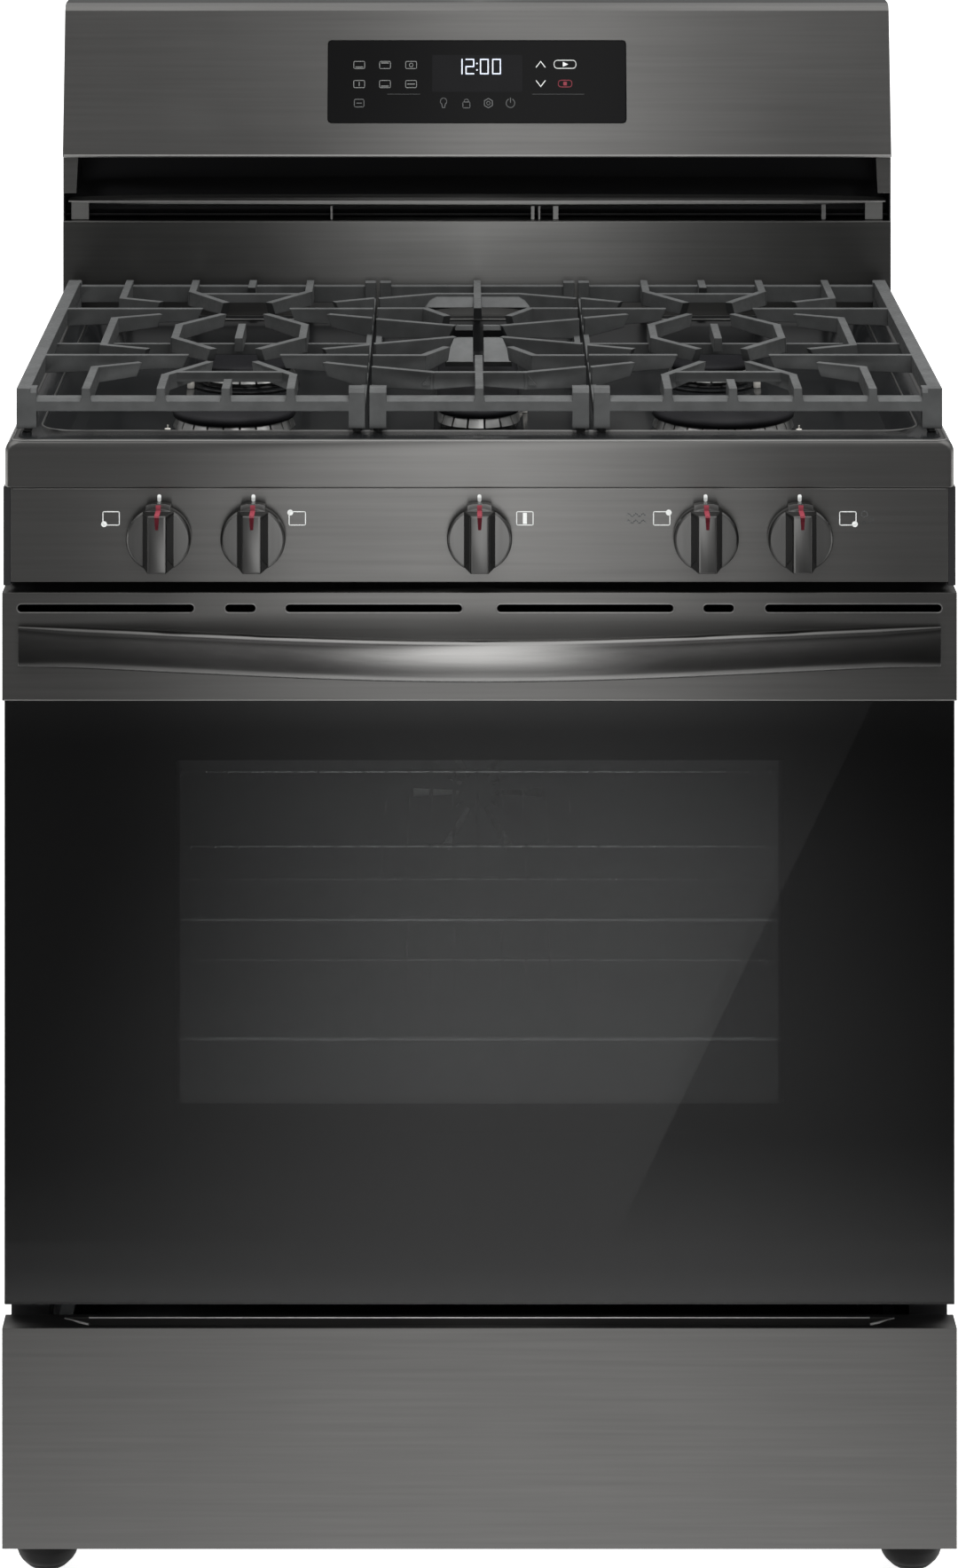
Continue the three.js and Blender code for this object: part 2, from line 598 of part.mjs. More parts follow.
function burnerBase({ x, d, radius }) {
  const seat = Z_WELL + GAP;
  const profile = [[0, 872], [18, 872], [20, seat], [radius + 5, seat], [radius + 5, seat + 2.5],
    [radius, seat + 5], [radius, Z_HEAD], [radius - 8, Z_HEAD], [radius - 9, Z_HEAD - 4], [0, Z_HEAD - 4]];
  return turned(profile, x, d);
}

function burnerCap({ x, d, radius }) {
  const low = Z_HEAD + GAP;
  const profile = [[0, Z_HEAD - 3], [radius - 10, Z_HEAD - 3], [radius - 9.5, low], [radius + 1, low],
    [radius + 2.2, low + 2.7], [radius - 1, low + 6.2], [radius * 0.6, low + 8.2], [0, low + 8.7]];
  return turned(profile, x, d);
}

function ovalBase() {
  const seat = Z_WELL + GAP;
  const at = (grow, z) => ringAt(stadium(OVAL.halfWidth + grow, OVAL.halfLength + grow, GRATE_D), z);
  const head = loft([at(5, seat), at(5, seat + 2.5), at(0, seat + 5), at(0, Z_HEAD)]);
  const recess = loft([at(-9, Z_HEAD - 4), at(-8, Z_HEAD + 1)]);
  const throat = turned([[0, 872], [14, 872], [14, seat + 1], [0, seat + 1]], 0, GRATE_D, 14);
  return head.subtract(recess).add(throat);
}

function ovalCap() {
  const at = (grow, z) => ringAt(stadium(OVAL.halfWidth + grow, OVAL.halfLength + grow, GRATE_D), z);
  const plug = loft([at(-10.5, Z_HEAD - 3), at(-9.5, Z_HEAD + 1)]);
  const low = Z_HEAD + GAP;
  return plug.add(loft([at(1, low), at(2.2, low + 2.7), at(-1, low + 6.2), at(-12, low + 8.7)]));
}

place('cooktop', cooktop(), porcelain);
for (const burner of burners) {
  place(`burner_base_${burner.name}`, burnerBase(burner), aluminium);
  place(`burner_cap_${burner.name}`, burnerCap(burner), porcelain);
}
place('burner_base_center', ovalBase(), aluminium);
place('burner_cap_center', ovalCap(), porcelain);

// ---------------------------------------------------------------- grates
const BAR = 6.5; // width of a cast bar at the top
const Z_RAIL = 952; // top of the lower rails
const Z_FOOT = 924.8; // underside of the foot pads

// A cast bar along a path of (x, d) points.
// Its underside runs from rootZ to tipZ, and a free tip is undercut.
function bar(path, { top = Z_GRATE, rootZ = 945, tipZ = 949, width = BAR, undercut = 5 } = {}) {
  const steps = path.length - 1;
  const parts = [];
  for (let i = 0; i < steps; i++) {
    const [a, b] = [v2(...path[i]), v2(...path[i + 1])];
    const along = b.clone().sub(a).normalize();
    const across = v2(-along.y, along.x);
    const start = a.clone().addScaledVector(along, i > 0 ? -width / 3 : 0);
    const end = b.clone().addScaledVector(along, i + 1 < steps ? width / 3 : 0);
    const low = (share) => rootZ + (tipZ - rootZ) * share;
    const back = i + 1 === steps ? undercut : 0;
    const ring = (p, z, shift) => [[1, top, 0], [-1, top, 0], [-1.15, z, shift], [1.15, z, shift]].map(
      ([side, height, set]) => v3(p.x + across.x * side * (width / 2) - along.x * set,
        p.y + across.y * side * (width / 2) - along.y * set, height));
    parts.push(loft([ring(start, low(i / steps), 0), ring(end, low((i + 1) / steps), back)]));
  }
  return union(parts);
}

// A rail along X with a bevelled outer edge, at the front (sign -1) or the rear (sign 1).
function endRail(x0, x1, sign) {
  const out = GRATE_D + sign * GRATE_HALF_LENGTH;
  const back = out - sign * 12;
  const top = sign < 0 ? Z_RAIL : Z_RAIL + 4;
  return alongX([[out, 941.6], [out, top - 2.7], [out - sign * 3, top], [back, top], [back, 941.6]], x0, x1);
}

// The flared end of a bar on an end rail.
function lug(x, sign) {
  const out = GRATE_D + sign * GRATE_HALF_LENGTH;
  const outline = [[x - 5.6, 943], [x + 5.6, 943], [x + 5.4, 947.5], [x + 3.25, 953], [x + 3.25, Z_GRATE],
    [x - 3.25, Z_GRATE], [x - 3.25, 953], [x - 5.4, 947.5]];
  return alongD(outline, Math.min(out, out - sign * 9), Math.max(out, out - sign * 9));
}

// A corner post from the cooking plane down to its foot pad, with its corner at (x, d).
function post(x, d, width, sign) {
  const inX = x > 0 ? x - width : x + width;
  const inD = d - sign * 14;
  const outline = [[d, 927.8], [d, Z_GRATE - 3.5], [d - sign * 3, Z_GRATE], [inD, Z_GRATE], [inD, 927.8]];
  const column = alongX(outline, Math.min(x, inX), Math.max(x, inX));
  const pad = turned([[0, Z_FOOT], [4, Z_FOOT], [4, 929], [0, 929]], (x + inX) / 2, (d + inD) / 2, 10);
  return column.add(pad);
}

// A side grate over two burners. Points are (u, v) from its middle, u towards the middle of the range.
function sideGrate(sign) {
  const at = (points) => points.map(([u, v]) => [sign * (BURNER_X - u), GRATE_D + v]);
  const span = (u0, u1, v0, v1, z0, z1) => {
    const xs = [sign * (BURNER_X - u0), sign * (BURNER_X - u1)].sort((a, b) => a - b);
    return box(xs[0], xs[1], GRATE_D + v0, GRATE_D + v1, z0, z1);
  };
  const [outer, inner, half] = [-167.5, 112, GRATE_HALF_LENGTH];
  const [xOuter, xInner] = [sign * (BURNER_X - outer), sign * (BURNER_X - inner)];
  const rails = [Math.min(xOuter, xInner), Math.max(xOuter, xInner)];
  const parts = [
    span(outer, outer + 11, -half, half, 946, Z_GRATE),
    span(inner - 5, inner, -half, half, 934, 945.5),
    span(outer + 5, inner - 4, -2.5, 2.5, 940, 949),
  ];
  for (const end of [-1, 1]) {
    const d = GRATE_D + end * half;
    parts.push(endRail(...rails, end));
    const width = end < 0 ? 1 : 0.75;
    parts.push(post(xOuter, d, 16 * width, end));
    parts.push(post(xInner + sign * 13.5 * width, d, 13.5 * width, end));
    for (const u of [-112, -52, 0, 52]) parts.push(lug(sign * (BURNER_X - u), end));
    parts.push(bar(at([[-112, end * half], [-112, end * 160], [-76, end * 140]])));
    parts.push(bar(at([[0, end * half], [0, end * 212]])));
    parts.push(bar(at([[-45, end * 181], [45, end * 181]]), { undercut: 0, rootZ: 952, tipZ: 952 }));
    parts.push(bar(at([[outer + 5, end * BURNER_REACH], [-38, end * BURNER_REACH]])));
    parts.push(bar(at([[inner, end * BURNER_REACH], [38, end * BURNER_REACH]]), { rootZ: 943 }));
    parts.push(bar(at([[inner, end * 160], [76, end * 140]]), { rootZ: 943 }));
    parts.push(bar(at([[inner, end * 62], [73, end * 81]]), { rootZ: 943 }));
    parts.push(bar(at([[-112, 0], [-112, end * 62], [-73, end * 81]])));
    for (const hand of [-1, 1]) {
      parts.push(bar(at([[hand * 52, end * half], [hand * 52, end * 193], [hand * 18.5, end * 136]])));
      parts.push(bar(at([[hand * 54, 0], [hand * 54, end * 30], [hand * 18.5, end * 82]])));
    }
  }
  parts.push(bar(at([[0, -34], [0, 34]]), { rootZ: 948, tipZ: 948, undercut: 0 }));
  const cut = 0.4;
  return union(parts).subtract(span(inner - cut, inner + 20, -300, 300, 900, 980));
}

// The middle grate over the oval burner.
function centerGrate() {
  const edge = 88;
  const half = GRATE_HALF_LENGTH;
  const at = (points) => points.map(([x, v]) => [x, GRATE_D + v]);
  const parts = [];
  for (const end of [-1, 1]) {
    parts.push(endRail(-edge, edge, end), lug(0, end));
    parts.push(bar(at([[0, end * half], [0, end * 109]])));
    const ramp = (wide, v, z) => [[-wide, 185], [wide, 185], [wide, v], [-wide, v]]
      .map(([x, reach]) => v3(x, GRATE_D + end * reach, z));
    parts.push(loft([ramp(47, 170, 949), ramp(38, 181, Z_GRATE)]));
    for (const hand of [-1, 1]) {
      const x = hand * edge;
      parts.push(post(x, GRATE_D + end * half, end < 0 ? 13.5 : 10, end));
      const cross = [[x, end * 158], [hand * 37.5, end * 182], [0, end * 182]];
      parts.push(bar(at(cross), { rootZ: 943, undercut: 0 }));
      parts.push(bar(at([[x, end * 109], [hand * 46, end * 109], [hand * 26.5, end * 71]]), { rootZ: 943 }));
      parts.push(bar(at([[x, end * 58], [hand * 19.5, end * 26]]), { rootZ: 943 }));
    }
  }
  parts.push(boxPair(edge - 5, edge, GRATE_D - half, GRATE_D + half, 934, 945.5));
  const trim = boxPair(edge, edge + 20, 0, 600, 900, 980);
  return union(parts).subtract(trim);
}

place('grate_left', sideGrate(-1), castIron);
place('grate_center', centerGrate(), castIron);
place('grate_right', sideGrate(1), castIron);

// ---------------------------------------------------------------- backguard
const GUARD_HALF = 378;
const CONSOLE = { bottom: 1069, front: 549, lean: 26, faceTop: 1199.6 };
const LEAN = CONSOLE.lean / (CONSOLE.faceTop - CONSOLE.bottom);
const consoleD = (z) => CONSOLE.front + (z - CONSOLE.bottom) * LEAN;

// Rear box of the backguard: back wall, ends and the baffle behind the vent.
function guardHousing() {
  const back = box(-GUARD_HALF, GUARD_HALF, BODY_BACK, BODY_DEPTH, Z_SKIRT_BOTTOM, Z_TOP - 3);
  const ends = boxPair(GUARD_HALF - SHEET, GUARD_HALF, RISER_D + SHEET + SEAM, BODY_DEPTH, Z_SKIRT_BOTTOM,
    CONSOLE.bottom - SEAM);
  const cap = (sign) => {
    const [out, wide, slim] = [sign * GUARD_HALF, sign * (GUARD_HALF - 14), sign * (GUARD_HALF - 8)];
    const ring = (d) => [v3(out, d, 1036), v3(slim, d, 1036), v3(wide, d, CONSOLE.bottom - SEAM),
      v3(out, d, CONSOLE.bottom - SEAM)];
    return loft([ring(RISER_D + 1), ring(600)]);
  };
  const section = [[596, 1012], [598, 1012], [642, 1064], [BODY_DEPTH - 1, 1064], [BODY_DEPTH - 1, 1066],
    [640, 1066]];
  const baffle = alongX(section, -GUARD_HALF + 1, GUARD_HALF - 1);
  const foot = alongX([[574, 1012], [598, 1012], [598, 1014], [574, 1014]], -GUARD_HALF + 1, GUARD_HALF - 1);
  return union([back, ends, cap(-1), cap(1), baffle, foot]);
}

// The riser's face, with a flange under the vent that fits between the ends of the housing.
function guardRiser() {
  const top = 1010;
  const back = RISER_D + SHEET;
  const face = alongX([[RISER_D, 888], [back, 888], [back, top], [RISER_D + 1, top], [RISER_D, top - 1]],
    -GUARD_HALF, GUARD_HALF);
  const inner = GUARD_HALF - SHEET - SEAM;
  return face.add(box(-inner, inner, RISER_D + 1, 574, top - SHEET, top));
}

// The rounded bar across the vent, with its posts and end blocks.
function ventTrim() {
  const half = 373;
  const [low, high] = [1023.7, 1031.8];
  const rings = [];
  for (const u of [-1, -0.93, -0.8, 0, 0.8, 0.93, 1]) {
    const bulge = 1 - Math.abs(u) ** 6;
    const front = RISER_D + 1 - 9 * bulge;
    const mid = (low + high) / 2;
    const tall = 1.2 + (high - mid - 1.2) * bulge;
    const x = u * half;
    rings.push([v3(x, 572, mid - tall), v3(x, 572, mid + tall), v3(x, front + 5, mid + tall),
      v3(x, front, mid + tall * 0.4), v3(x, front, mid - tall * 0.4), v3(x, front + 5, mid - tall)]);
  }
  const posts = [[-133, 0.9], [51, 1.6], [57, 0.9], [72, 2.5], [317, 1.9]].map(
    ([x, slim]) => box(x - slim, x + slim, 560, 571, 1010.3, low + 3));
  const blocks = boxPair(355, 371, 560, 571.5, 1010.3, 1028);
  return union([loft(rings), ...posts, blocks]);
}

// The control console: a leaning face, a rounded top edge, closed ends, open to the rear.
function guardConsole() {
  const rear = BODY_BACK - SEAM;
  const { bottom, front, faceTop } = CONSOLE;
  const top = front + CONSOLE.lean;
  const outline = (inset) => [[front + inset * 1.02, bottom + inset], [top + inset, faceTop - inset * 0.3],
    [top + 3.5 + inset * 0.7, Z_TOP - 1.8 - inset * 0.8], [top + 11, Z_TOP - inset],
    [rear + inset, Z_TOP - inset], [rear + inset, bottom + inset]];
  const shell = alongX(outline(0), -GUARD_HALF, GUARD_HALF);
  const inside = alongX(outline(SHEET), -GUARD_HALF + SHEET, GUARD_HALF - SHEET);
  const glass = GLASS.half + 0.6;
  const cut = alongD(roundedRect(-glass, glass, GLASS.bottom - 0.6, GLASS.top + 0.6, 3, 2), 540, 590);
  return shell.subtract(inside).subtract(cut);
}

// The touch panel, let into the leaning face.
const GLASS = { half: 136, bottom: 1099.6, top: 1172.4 };
function controlGlass() {
  const outline = roundedRect(-GLASS.half, GLASS.half, GLASS.bottom, GLASS.top, 3, 2);
  const ring = (set) => outline.map(([x, z]) => v3(x, consoleD(z) + set, z));
  return loft([ring(-0.6), ring(5)]);
}

place('backguard_housing', guardHousing(), blackPaint);
place('backguard_riser', guardRiser(), blackSteel);
place('vent_trim', ventTrim(), blackSteel);
place('backguard_console', guardConsole(), blackSteel);
place('control_glass', controlGlass(), darkGlass);

export default range;
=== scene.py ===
"""Looks of a freestanding gas range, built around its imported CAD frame.

Positions below are in millimetres as (x, d, z): d is the distance behind the front face of the oven
door and z the height above the floor. place() turns them into metres in the shared frame.
"""
import json
import math

import bmesh
import bpy
from mathutils import Matrix, Vector


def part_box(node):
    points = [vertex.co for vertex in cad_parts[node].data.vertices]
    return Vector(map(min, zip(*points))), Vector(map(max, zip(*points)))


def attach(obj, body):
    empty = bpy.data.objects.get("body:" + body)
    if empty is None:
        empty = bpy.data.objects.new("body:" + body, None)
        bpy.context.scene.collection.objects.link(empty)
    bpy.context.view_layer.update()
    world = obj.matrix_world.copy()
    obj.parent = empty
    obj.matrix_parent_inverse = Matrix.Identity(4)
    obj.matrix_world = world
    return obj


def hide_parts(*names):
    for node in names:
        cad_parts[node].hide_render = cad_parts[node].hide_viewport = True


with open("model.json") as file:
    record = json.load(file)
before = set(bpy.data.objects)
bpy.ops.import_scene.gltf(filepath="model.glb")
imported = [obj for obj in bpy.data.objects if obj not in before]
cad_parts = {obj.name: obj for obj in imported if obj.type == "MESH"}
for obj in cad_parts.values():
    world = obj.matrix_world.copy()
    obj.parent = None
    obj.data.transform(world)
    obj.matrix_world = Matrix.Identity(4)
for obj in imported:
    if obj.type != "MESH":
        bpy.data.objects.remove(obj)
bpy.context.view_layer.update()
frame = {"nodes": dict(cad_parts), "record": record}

nodes = frame["nodes"]
scene = bpy.context.scene
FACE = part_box("door_top_panel")[0].y
BURNERS = ("front_left", "rear_left", "center", "rear_right", "front_right")


def place(x, d, z):
    """A point in the shared frame, in metres."""
    return Vector((x / 1000, FACE + d / 1000, z / 1000))


# ---------------------------------------------------------------- camera
CAMERA = place(-15.1, -3700, 1690.9)
AIM = place(-0.4, 0, 651.5)  # middle of the view, on the plane of the door's face
VIEW_HEIGHT = 1.2452  # metres of that plane that fill the frame from bottom to top


def make_camera():
    """A view camera: the lens looks down at the range while the film stays upright."""
    cam = bpy.data.objects.new("camera", bpy.data.cameras.new("camera"))
    tripod = bpy.data.objects.new("tripod", None)
    scene.collection.objects.link(cam)
    scene.collection.objects.link(tripod)
    look = AIM - CAMERA
    cam.data.lens = cam.data.sensor_width * look.length / VIEW_HEIGHT
    look.normalize()
    cam.parent = tripod
    cam.matrix_parent_inverse = Matrix((
        (1, 0, -look.x, CAMERA.x),
        (0, 0, -look.y, CAMERA.y),
        (0, 1, -look.z, CAMERA.z),
        (0, 0, 0, 1),
    ))
    scene.camera = cam


# ---------------------------------------------------------------- materials
class Material:
    """A procedural material: one shader, with texture nodes added by the methods."""

    def __init__(self, name, color, roughness, metallic=0.0, **sockets):
        self.data = bpy.data.materials.new(name)
        self.data.use_nodes = True
        self.nodes = self.data.node_tree.nodes
        self.links = self.data.node_tree.links
        self.shader = self.nodes["Principled BSDF"]
        self.color = color
        self.roughness = roughness
        self.normal = None
        self.shader.inputs["Base Color"].default_value = (*color, 1)
        self.shader.inputs["Roughness"].default_value = roughness
        self.shader.inputs["Metallic"].default_value = metallic
        for socket, value in sockets.items():
            self.shader.inputs[socket.replace("_", " ")].default_value = value

    def noise(self, scale, detail=4.0, stretch=(1, 1, 1)):
        """Noise in object space, with scale cells per metre, squeezed or stretched along each axis."""
        coordinates = self.nodes.new("ShaderNodeTexCoord")
        mapping = self.nodes.new("ShaderNodeMapping")
        mapping.inputs["Scale"].default_value = stretch
        texture = self.nodes.new("ShaderNodeTexNoise")
        texture.inputs["Scale"].default_value = scale
        texture.inputs["Detail"].default_value = detail
        self.links.new(coordinates.outputs["Object"], mapping.inputs["Vector"])
        self.links.new(mapping.outputs["Vector"], texture.inputs["Vector"])
        return texture.outputs["Fac"]

    def vary_color(self, factor, spread):
        """Darkens and lightens the base colour by the given share, following a texture."""
        ramp = self.nodes.new("ShaderNodeValToRGB")
        low, high = ramp.color_ramp.elements
        low.position, high.position = 0.3, 0.7
        low.color = (*[c * (1 - spread) for c in self.color], 1)
        high.color = (*[c * (1 + spread) for c in self.color], 1)
        self.links.new(factor, ramp.inputs["Fac"])
        self.links.new(ramp.outputs["Color"], self.shader.inputs["Base Color"])
        return self

    def painted_reflection_outwards(self, stops):
        """Multiplies the base colour by a gray that changes with the distance from the middle, in metres: a
        painted reflection, bright in the middle and darker towards the ends.
        """
        coordinates = self.nodes.new("ShaderNodeTexCoord")
        split = self.nodes.new("ShaderNodeSeparateXYZ")
        distance = self.nodes.new("ShaderNodeMath")
        distance.operation = "ABSOLUTE"
        ramp = gray_ramp(self.nodes, stops)
        blend = self.nodes.new("ShaderNodeMix")
        blend.data_type = "RGBA"
        blend.blend_type = "MULTIPLY"
        blend.inputs["Factor"].default_value = 1.0
        base = self.shader.inputs["Base Color"]
        self.links.new(coordinates.outputs["Object"], split.inputs["Vector"])
        self.links.new(split.outputs["X"], distance.inputs[0])
        self.links.new(distance.outputs["Value"], ramp.inputs["Fac"])
        self.links.new(base.links[0].from_socket, blend.inputs[6])
        self.links.new(ramp.outputs["Color"], blend.inputs[7])
        self.links.new(blend.outputs[2], base)
        return self

    def vary_roughness(self, factor, spread):
        """Raises and lowers the roughness by the given amount, following a texture."""
        span = self.nodes.new("ShaderNodeMapRange")
        span.inputs["From Min"].default_value = 0.3
        span.inputs["From Max"].default_value = 0.7
        span.inputs["To Min"].default_value = self.roughness - spread
        span.inputs["To Max"].default_value = self.roughness + spread
        self.links.new(factor, span.inputs["Value"])
        self.links.new(span.outputs["Result"], self.shader.inputs["Roughness"])
        return self

    def round_edges(self, radius):
        """Shades sharp edges as if they had this radius, in millimetres."""
        bevel = self.nodes.new("ShaderNodeBevel")
        bevel.samples = 4
        bevel.inputs["Radius"].default_value = radius / 1000
        self.normal = bevel.outputs["Normal"]
        self.links.new(self.normal, self.shader.inputs["Normal"])
        return self

    def bump(self, factor, height, strength=1.0):
        """Raises the surface by up to the given height, in millimetres."""
        node = self.nodes.new("ShaderNodeBump")
        node.inputs["Distance"].default_value = height / 1000
        node.inputs["Strength"].default_value = strength
        self.links.new(factor, node.inputs["Height"])
        if self.normal is not None:
            self.links.new(self.normal, node.inputs["Normal"])
        self.normal = node.outputs["Normal"]
        self.links.new(self.normal, self.shader.inputs["Normal"])
        return self


def brushed(name, color, roughness, anisotropy=0.75):
    """Brushed steel with its grain along X."""
    made = Material(name, color, roughness, 1.0, Anisotropic=anisotropy, Anisotropic_Rotation=0.25)
    grain = made.noise(260, 6, (0.02, 1, 1))
    cloud = made.noise(7, 3)
    return (made.vary_color(grain, 0.07).vary_roughness(cloud, 0.03)
            .round_edges(0.8).bump(grain, 0.02, 0.3))


def make_materials():
    """All procedural materials by name."""
    made = {}
    made["black_stainless"] = brushed("black_stainless", (0.185, 0.183, 0.178), 0.32)
    # The handle is a lighter copy of the black steel, darkened towards its ends: a painted reflection of a
    # bright band in its middle.
    made["handle_steel"] = brushed("handle_steel", (0.33, 0.327, 0.32), 0.22, 0.3).painted_reflection_outwards(
        [(0.0, 1.0), (0.1, 0.9), (0.2, 0.68), (0.3, 0.34), (0.36, 0.26)])
    # The riser is also a lighter copy of the black steel, darkened towards its ends: a painted reflection.
    made["riser_steel_painted_reflection"] = brushed("riser_steel_painted_reflection", (0.30, 0.298, 0.29), 0.32).painted_reflection_outwards(
        [(0.0, 1.0), (0.1, 0.85), (0.2, 0.5), (0.36, 0.34)])
    # A lighter copy of the black steel for bright edges and the vent trim: painted highlight.
    made["painted_highlight_metal"] = brushed("painted_highlight_metal", (0.36, 0.358, 0.35), 0.36, 0.3)
    paint = Material("black_paint", (0.018, 0.018, 0.019), 0.46, Specular_IOR_Level=0.3)
    made["black_paint"] = (paint.vary_roughness(paint.noise(40), 0.015)
                           .round_edges(0.8).bump(paint.noise(900, 2), 0.03, 0.4))
    enamel = Material("porcelain", (0.009, 0.0095, 0.010), 0.16, Specular_IOR_Level=0.35)
    made["porcelain"] = (enamel.vary_roughness(enamel.noise(12), 0.03)
                         .round_edges(1.0).bump(enamel.noise(160, 2), 0.03, 0.3))
    lid = Material("cap_enamel", (0.008, 0.008, 0.009), 0.45, Specular_IOR_Level=0.09)
    made["cap_enamel"] = (lid.vary_roughness(lid.noise(40), 0.05)
                          .round_edges(0.8).bump(lid.noise(700), 0.04, 0.4))
    iron = Material("cast_iron", (0.064, 0.066, 0.066), 0.5, Specular_IOR_Level=0.3)
    made["cast_iron"] = (iron.vary_color(iron.noise(60), 0.16).vary_roughness(iron.noise(300), 0.08)
                         .round_edges(1.1).bump(iron.noise(1400, 3), 0.08, 0.5))
    cast = Material("aluminium", (0.42, 0.42, 0.41), 0.42, 1.0)
    made["aluminium"] = (cast.vary_color(cast.noise(90), 0.12).round_edges(0.5)
                         .bump(cast.noise(1600, 3), 0.04, 0.4))
    port = Material("port_metal", (0.84, 0.84, 0.82), 0.3, 1.0)
    made["port_metal"] = (port.vary_color(port.noise(120), 0.1).round_edges(0.4)
                          .bump(port.noise(1600, 3), 0.03, 0.4))
    zinc = Material("galvanized", (0.23, 0.24, 0.245), 0.46, 0.9)
    made["galvanized"] = (zinc.vary_color(zinc.noise(110, 1), 0.07).vary_roughness(zinc.noise(80, 1), 0.05)
                          .round_edges(0.6).bump(zinc.noise(500), 0.02, 0.3))
    wire = Material("chrome_wire", (0.40, 0.40, 0.40), 0.18, 1.0)
    made["chrome_wire"] = wire.vary_roughness(wire.noise(120), 0.06).bump(wire.noise(700), 0.02, 0.3)
    clear = Material("tinted_glass", (0.68, 0.69, 0.69), 0.0, Transmission_Weight=1.0, IOR=1.5)
    made["tinted_glass"] = clear.vary_color(clear.noise(4), 0.02)
    dial = Material("knob_metal", (0.15, 0.149, 0.146), 0.3, 1.0)
    made["knob_metal"] = (dial.vary_color(dial.noise(200, 4, (1, 1, 0.05)), 0.08).round_edges(0.8)
                          .bump(dial.noise(900), 0.01, 0.3))
    turned = Material("brass", (0.52, 0.38, 0.16), 0.30, 1.0)
    made["brass"] = turned.vary_color(turned.noise(150), 0.1).round_edges(0.4)
    soft = Material("rubber", (0.005, 0.005, 0.005), 0.55, Specular_IOR_Level=0.12)
    made["rubber"] = (soft.vary_roughness(soft.noise(80), 0.08)
                      .round_edges(0.8).bump(soft.noise(1200), 0.05, 0.4))
    ceramic = Material("ceramic", (0.62, 0.60, 0.56), 0.35)
    made["ceramic"] = ceramic.vary_color(ceramic.noise(300), 0.06)
    gloss = Material("gloss_black", (0.006, 0.006, 0.006), 0.12, Specular_IOR_Level=0.3)
    made["gloss_black"] = gloss.vary_roughness(gloss.noise(90), 0.03)
    panel = Material("display", (0.0105, 0.0105, 0.0112), 0.2, Specular_IOR_Level=0.07)
    made["display"] = panel.vary_color(panel.noise(30), 0.05)
    touch = Material("touch_glass", (0.007, 0.007, 0.0072), 0.06, Specular_IOR_Level=0.06)
    made["touch_glass"] = touch.vary_roughness(touch.noise(8), 0.015).round_edges(0.6)
    # The clock's digits shine as a lit display does; the printed marks glow too, as painted light that keeps
    # them evenly bright.
    inks = {
        "red_ink_painted_glow": ((0.17, 0.026, 0.038), 0.6),
        "bright_ink": ((0.62, 0.66, 0.76), 0.5),
        "pale_ink_painted_glow": ((0.58, 0.59, 0.58), 0.45),
        "soft_ink_painted_glow": ((0.22, 0.225, 0.22), 0.3),
        "faint_ink_painted_glow": ((0.10, 0.103, 0.103), 0.3),
    }
    for ink, (color, glow) in inks.items():
        mark = Material(ink, color, 0.5, Emission_Strength=glow)
        mark.shader.inputs["Emission Color"].default_value = (*color, 1)
        made[ink] = mark.vary_color(mark.noise(600), 0.06)
    border = Material("frit", (0.003, 0.003, 0.0032), 0.5, Specular_IOR_Level=0.0)
    made["frit"] = border.vary_roughness(border.noise(200), 0.05)
    braid = Material("gasket_braid", (0.16, 0.155, 0.145), 0.9)
    made["gasket_braid"] = braid.vary_color(braid.noise(500), 0.3).bump(braid.noise(800), 0.6, 0.8)
    return made


# Nodes whose material differs from the one that their slot names. The riser and the vent trim get lighter
# copies of the black steel: painted reflection and painted highlight.
SPECIAL = {
    "door_glass": "tinted_glass",
    "door_window_glass": "tinted_glass",
    "control_glass": "touch_glass",
    "backguard_riser": "riser_steel_painted_reflection",
    "vent_trim": "painted_highlight_metal",
}


def paint_nodes(materials):
    """Gives every CAD node its procedural material."""
    slots = {row["node"]: row["material_slot"] for row in frame["record"]["subparts"]}
    for name, node in nodes.items():
        node.data.materials.clear()
        finish = SPECIAL.get(name, slots[name])
        node.data.materials.append(materials[finish].data)


# ---------------------------------------------------------------- mesh helpers, in millimetres as (x, d, z)
def loft(bm, rings, closed=False, open_start=False):
    """Skins rings of points that have equal counts.

    The ends get caps, unless the rings close on themselves; open_start leaves the first cap out.
    """
    rows = [[bm.verts.new(p) for p in ring] for ring in rings]
    pairs = list(zip(rows, rows[1:]))
    if closed:
        pairs.append((rows[-1], rows[0]))
    count = len(rows[0])
    for a, b in pairs:
        for i in range(count):
            j = (i + 1) % count
            bm.faces.new((a[i], a[j], b[j], b[i]))
    if not closed:
        if not open_start:
            bm.faces.new(rows[0][::-1])
        bm.faces.new(rows[-1])


def circle(x, d, z, radius, count, axis="z"):
    """Points round a circle whose axis runs along z or, for axis "y", along the depth."""
    points = []
    for i in range(count):
        angle = 2 * math.pi * i / count
        a, b = radius * math.cos(angle), radius * math.sin(angle)
        points.append((x + a, d + b, z) if axis == "z" else (x + a, d, z + b))
    return points


def block(bm, x0, x1, d0, d1, z0, z1):
    """A box between two values along each axis."""
    verts = [bm.verts.new((x, d, z)) for z in (z0, z1) for d in (d0, d1) for x in (x0, x1)]
    for quad in ((0, 1, 3, 2), (4, 6, 7, 5), (0, 4, 5, 1), (2, 3, 7, 6), (0, 2, 6, 4), (1, 5, 7, 3)):
        bm.faces.new([verts[i] for i in quad])


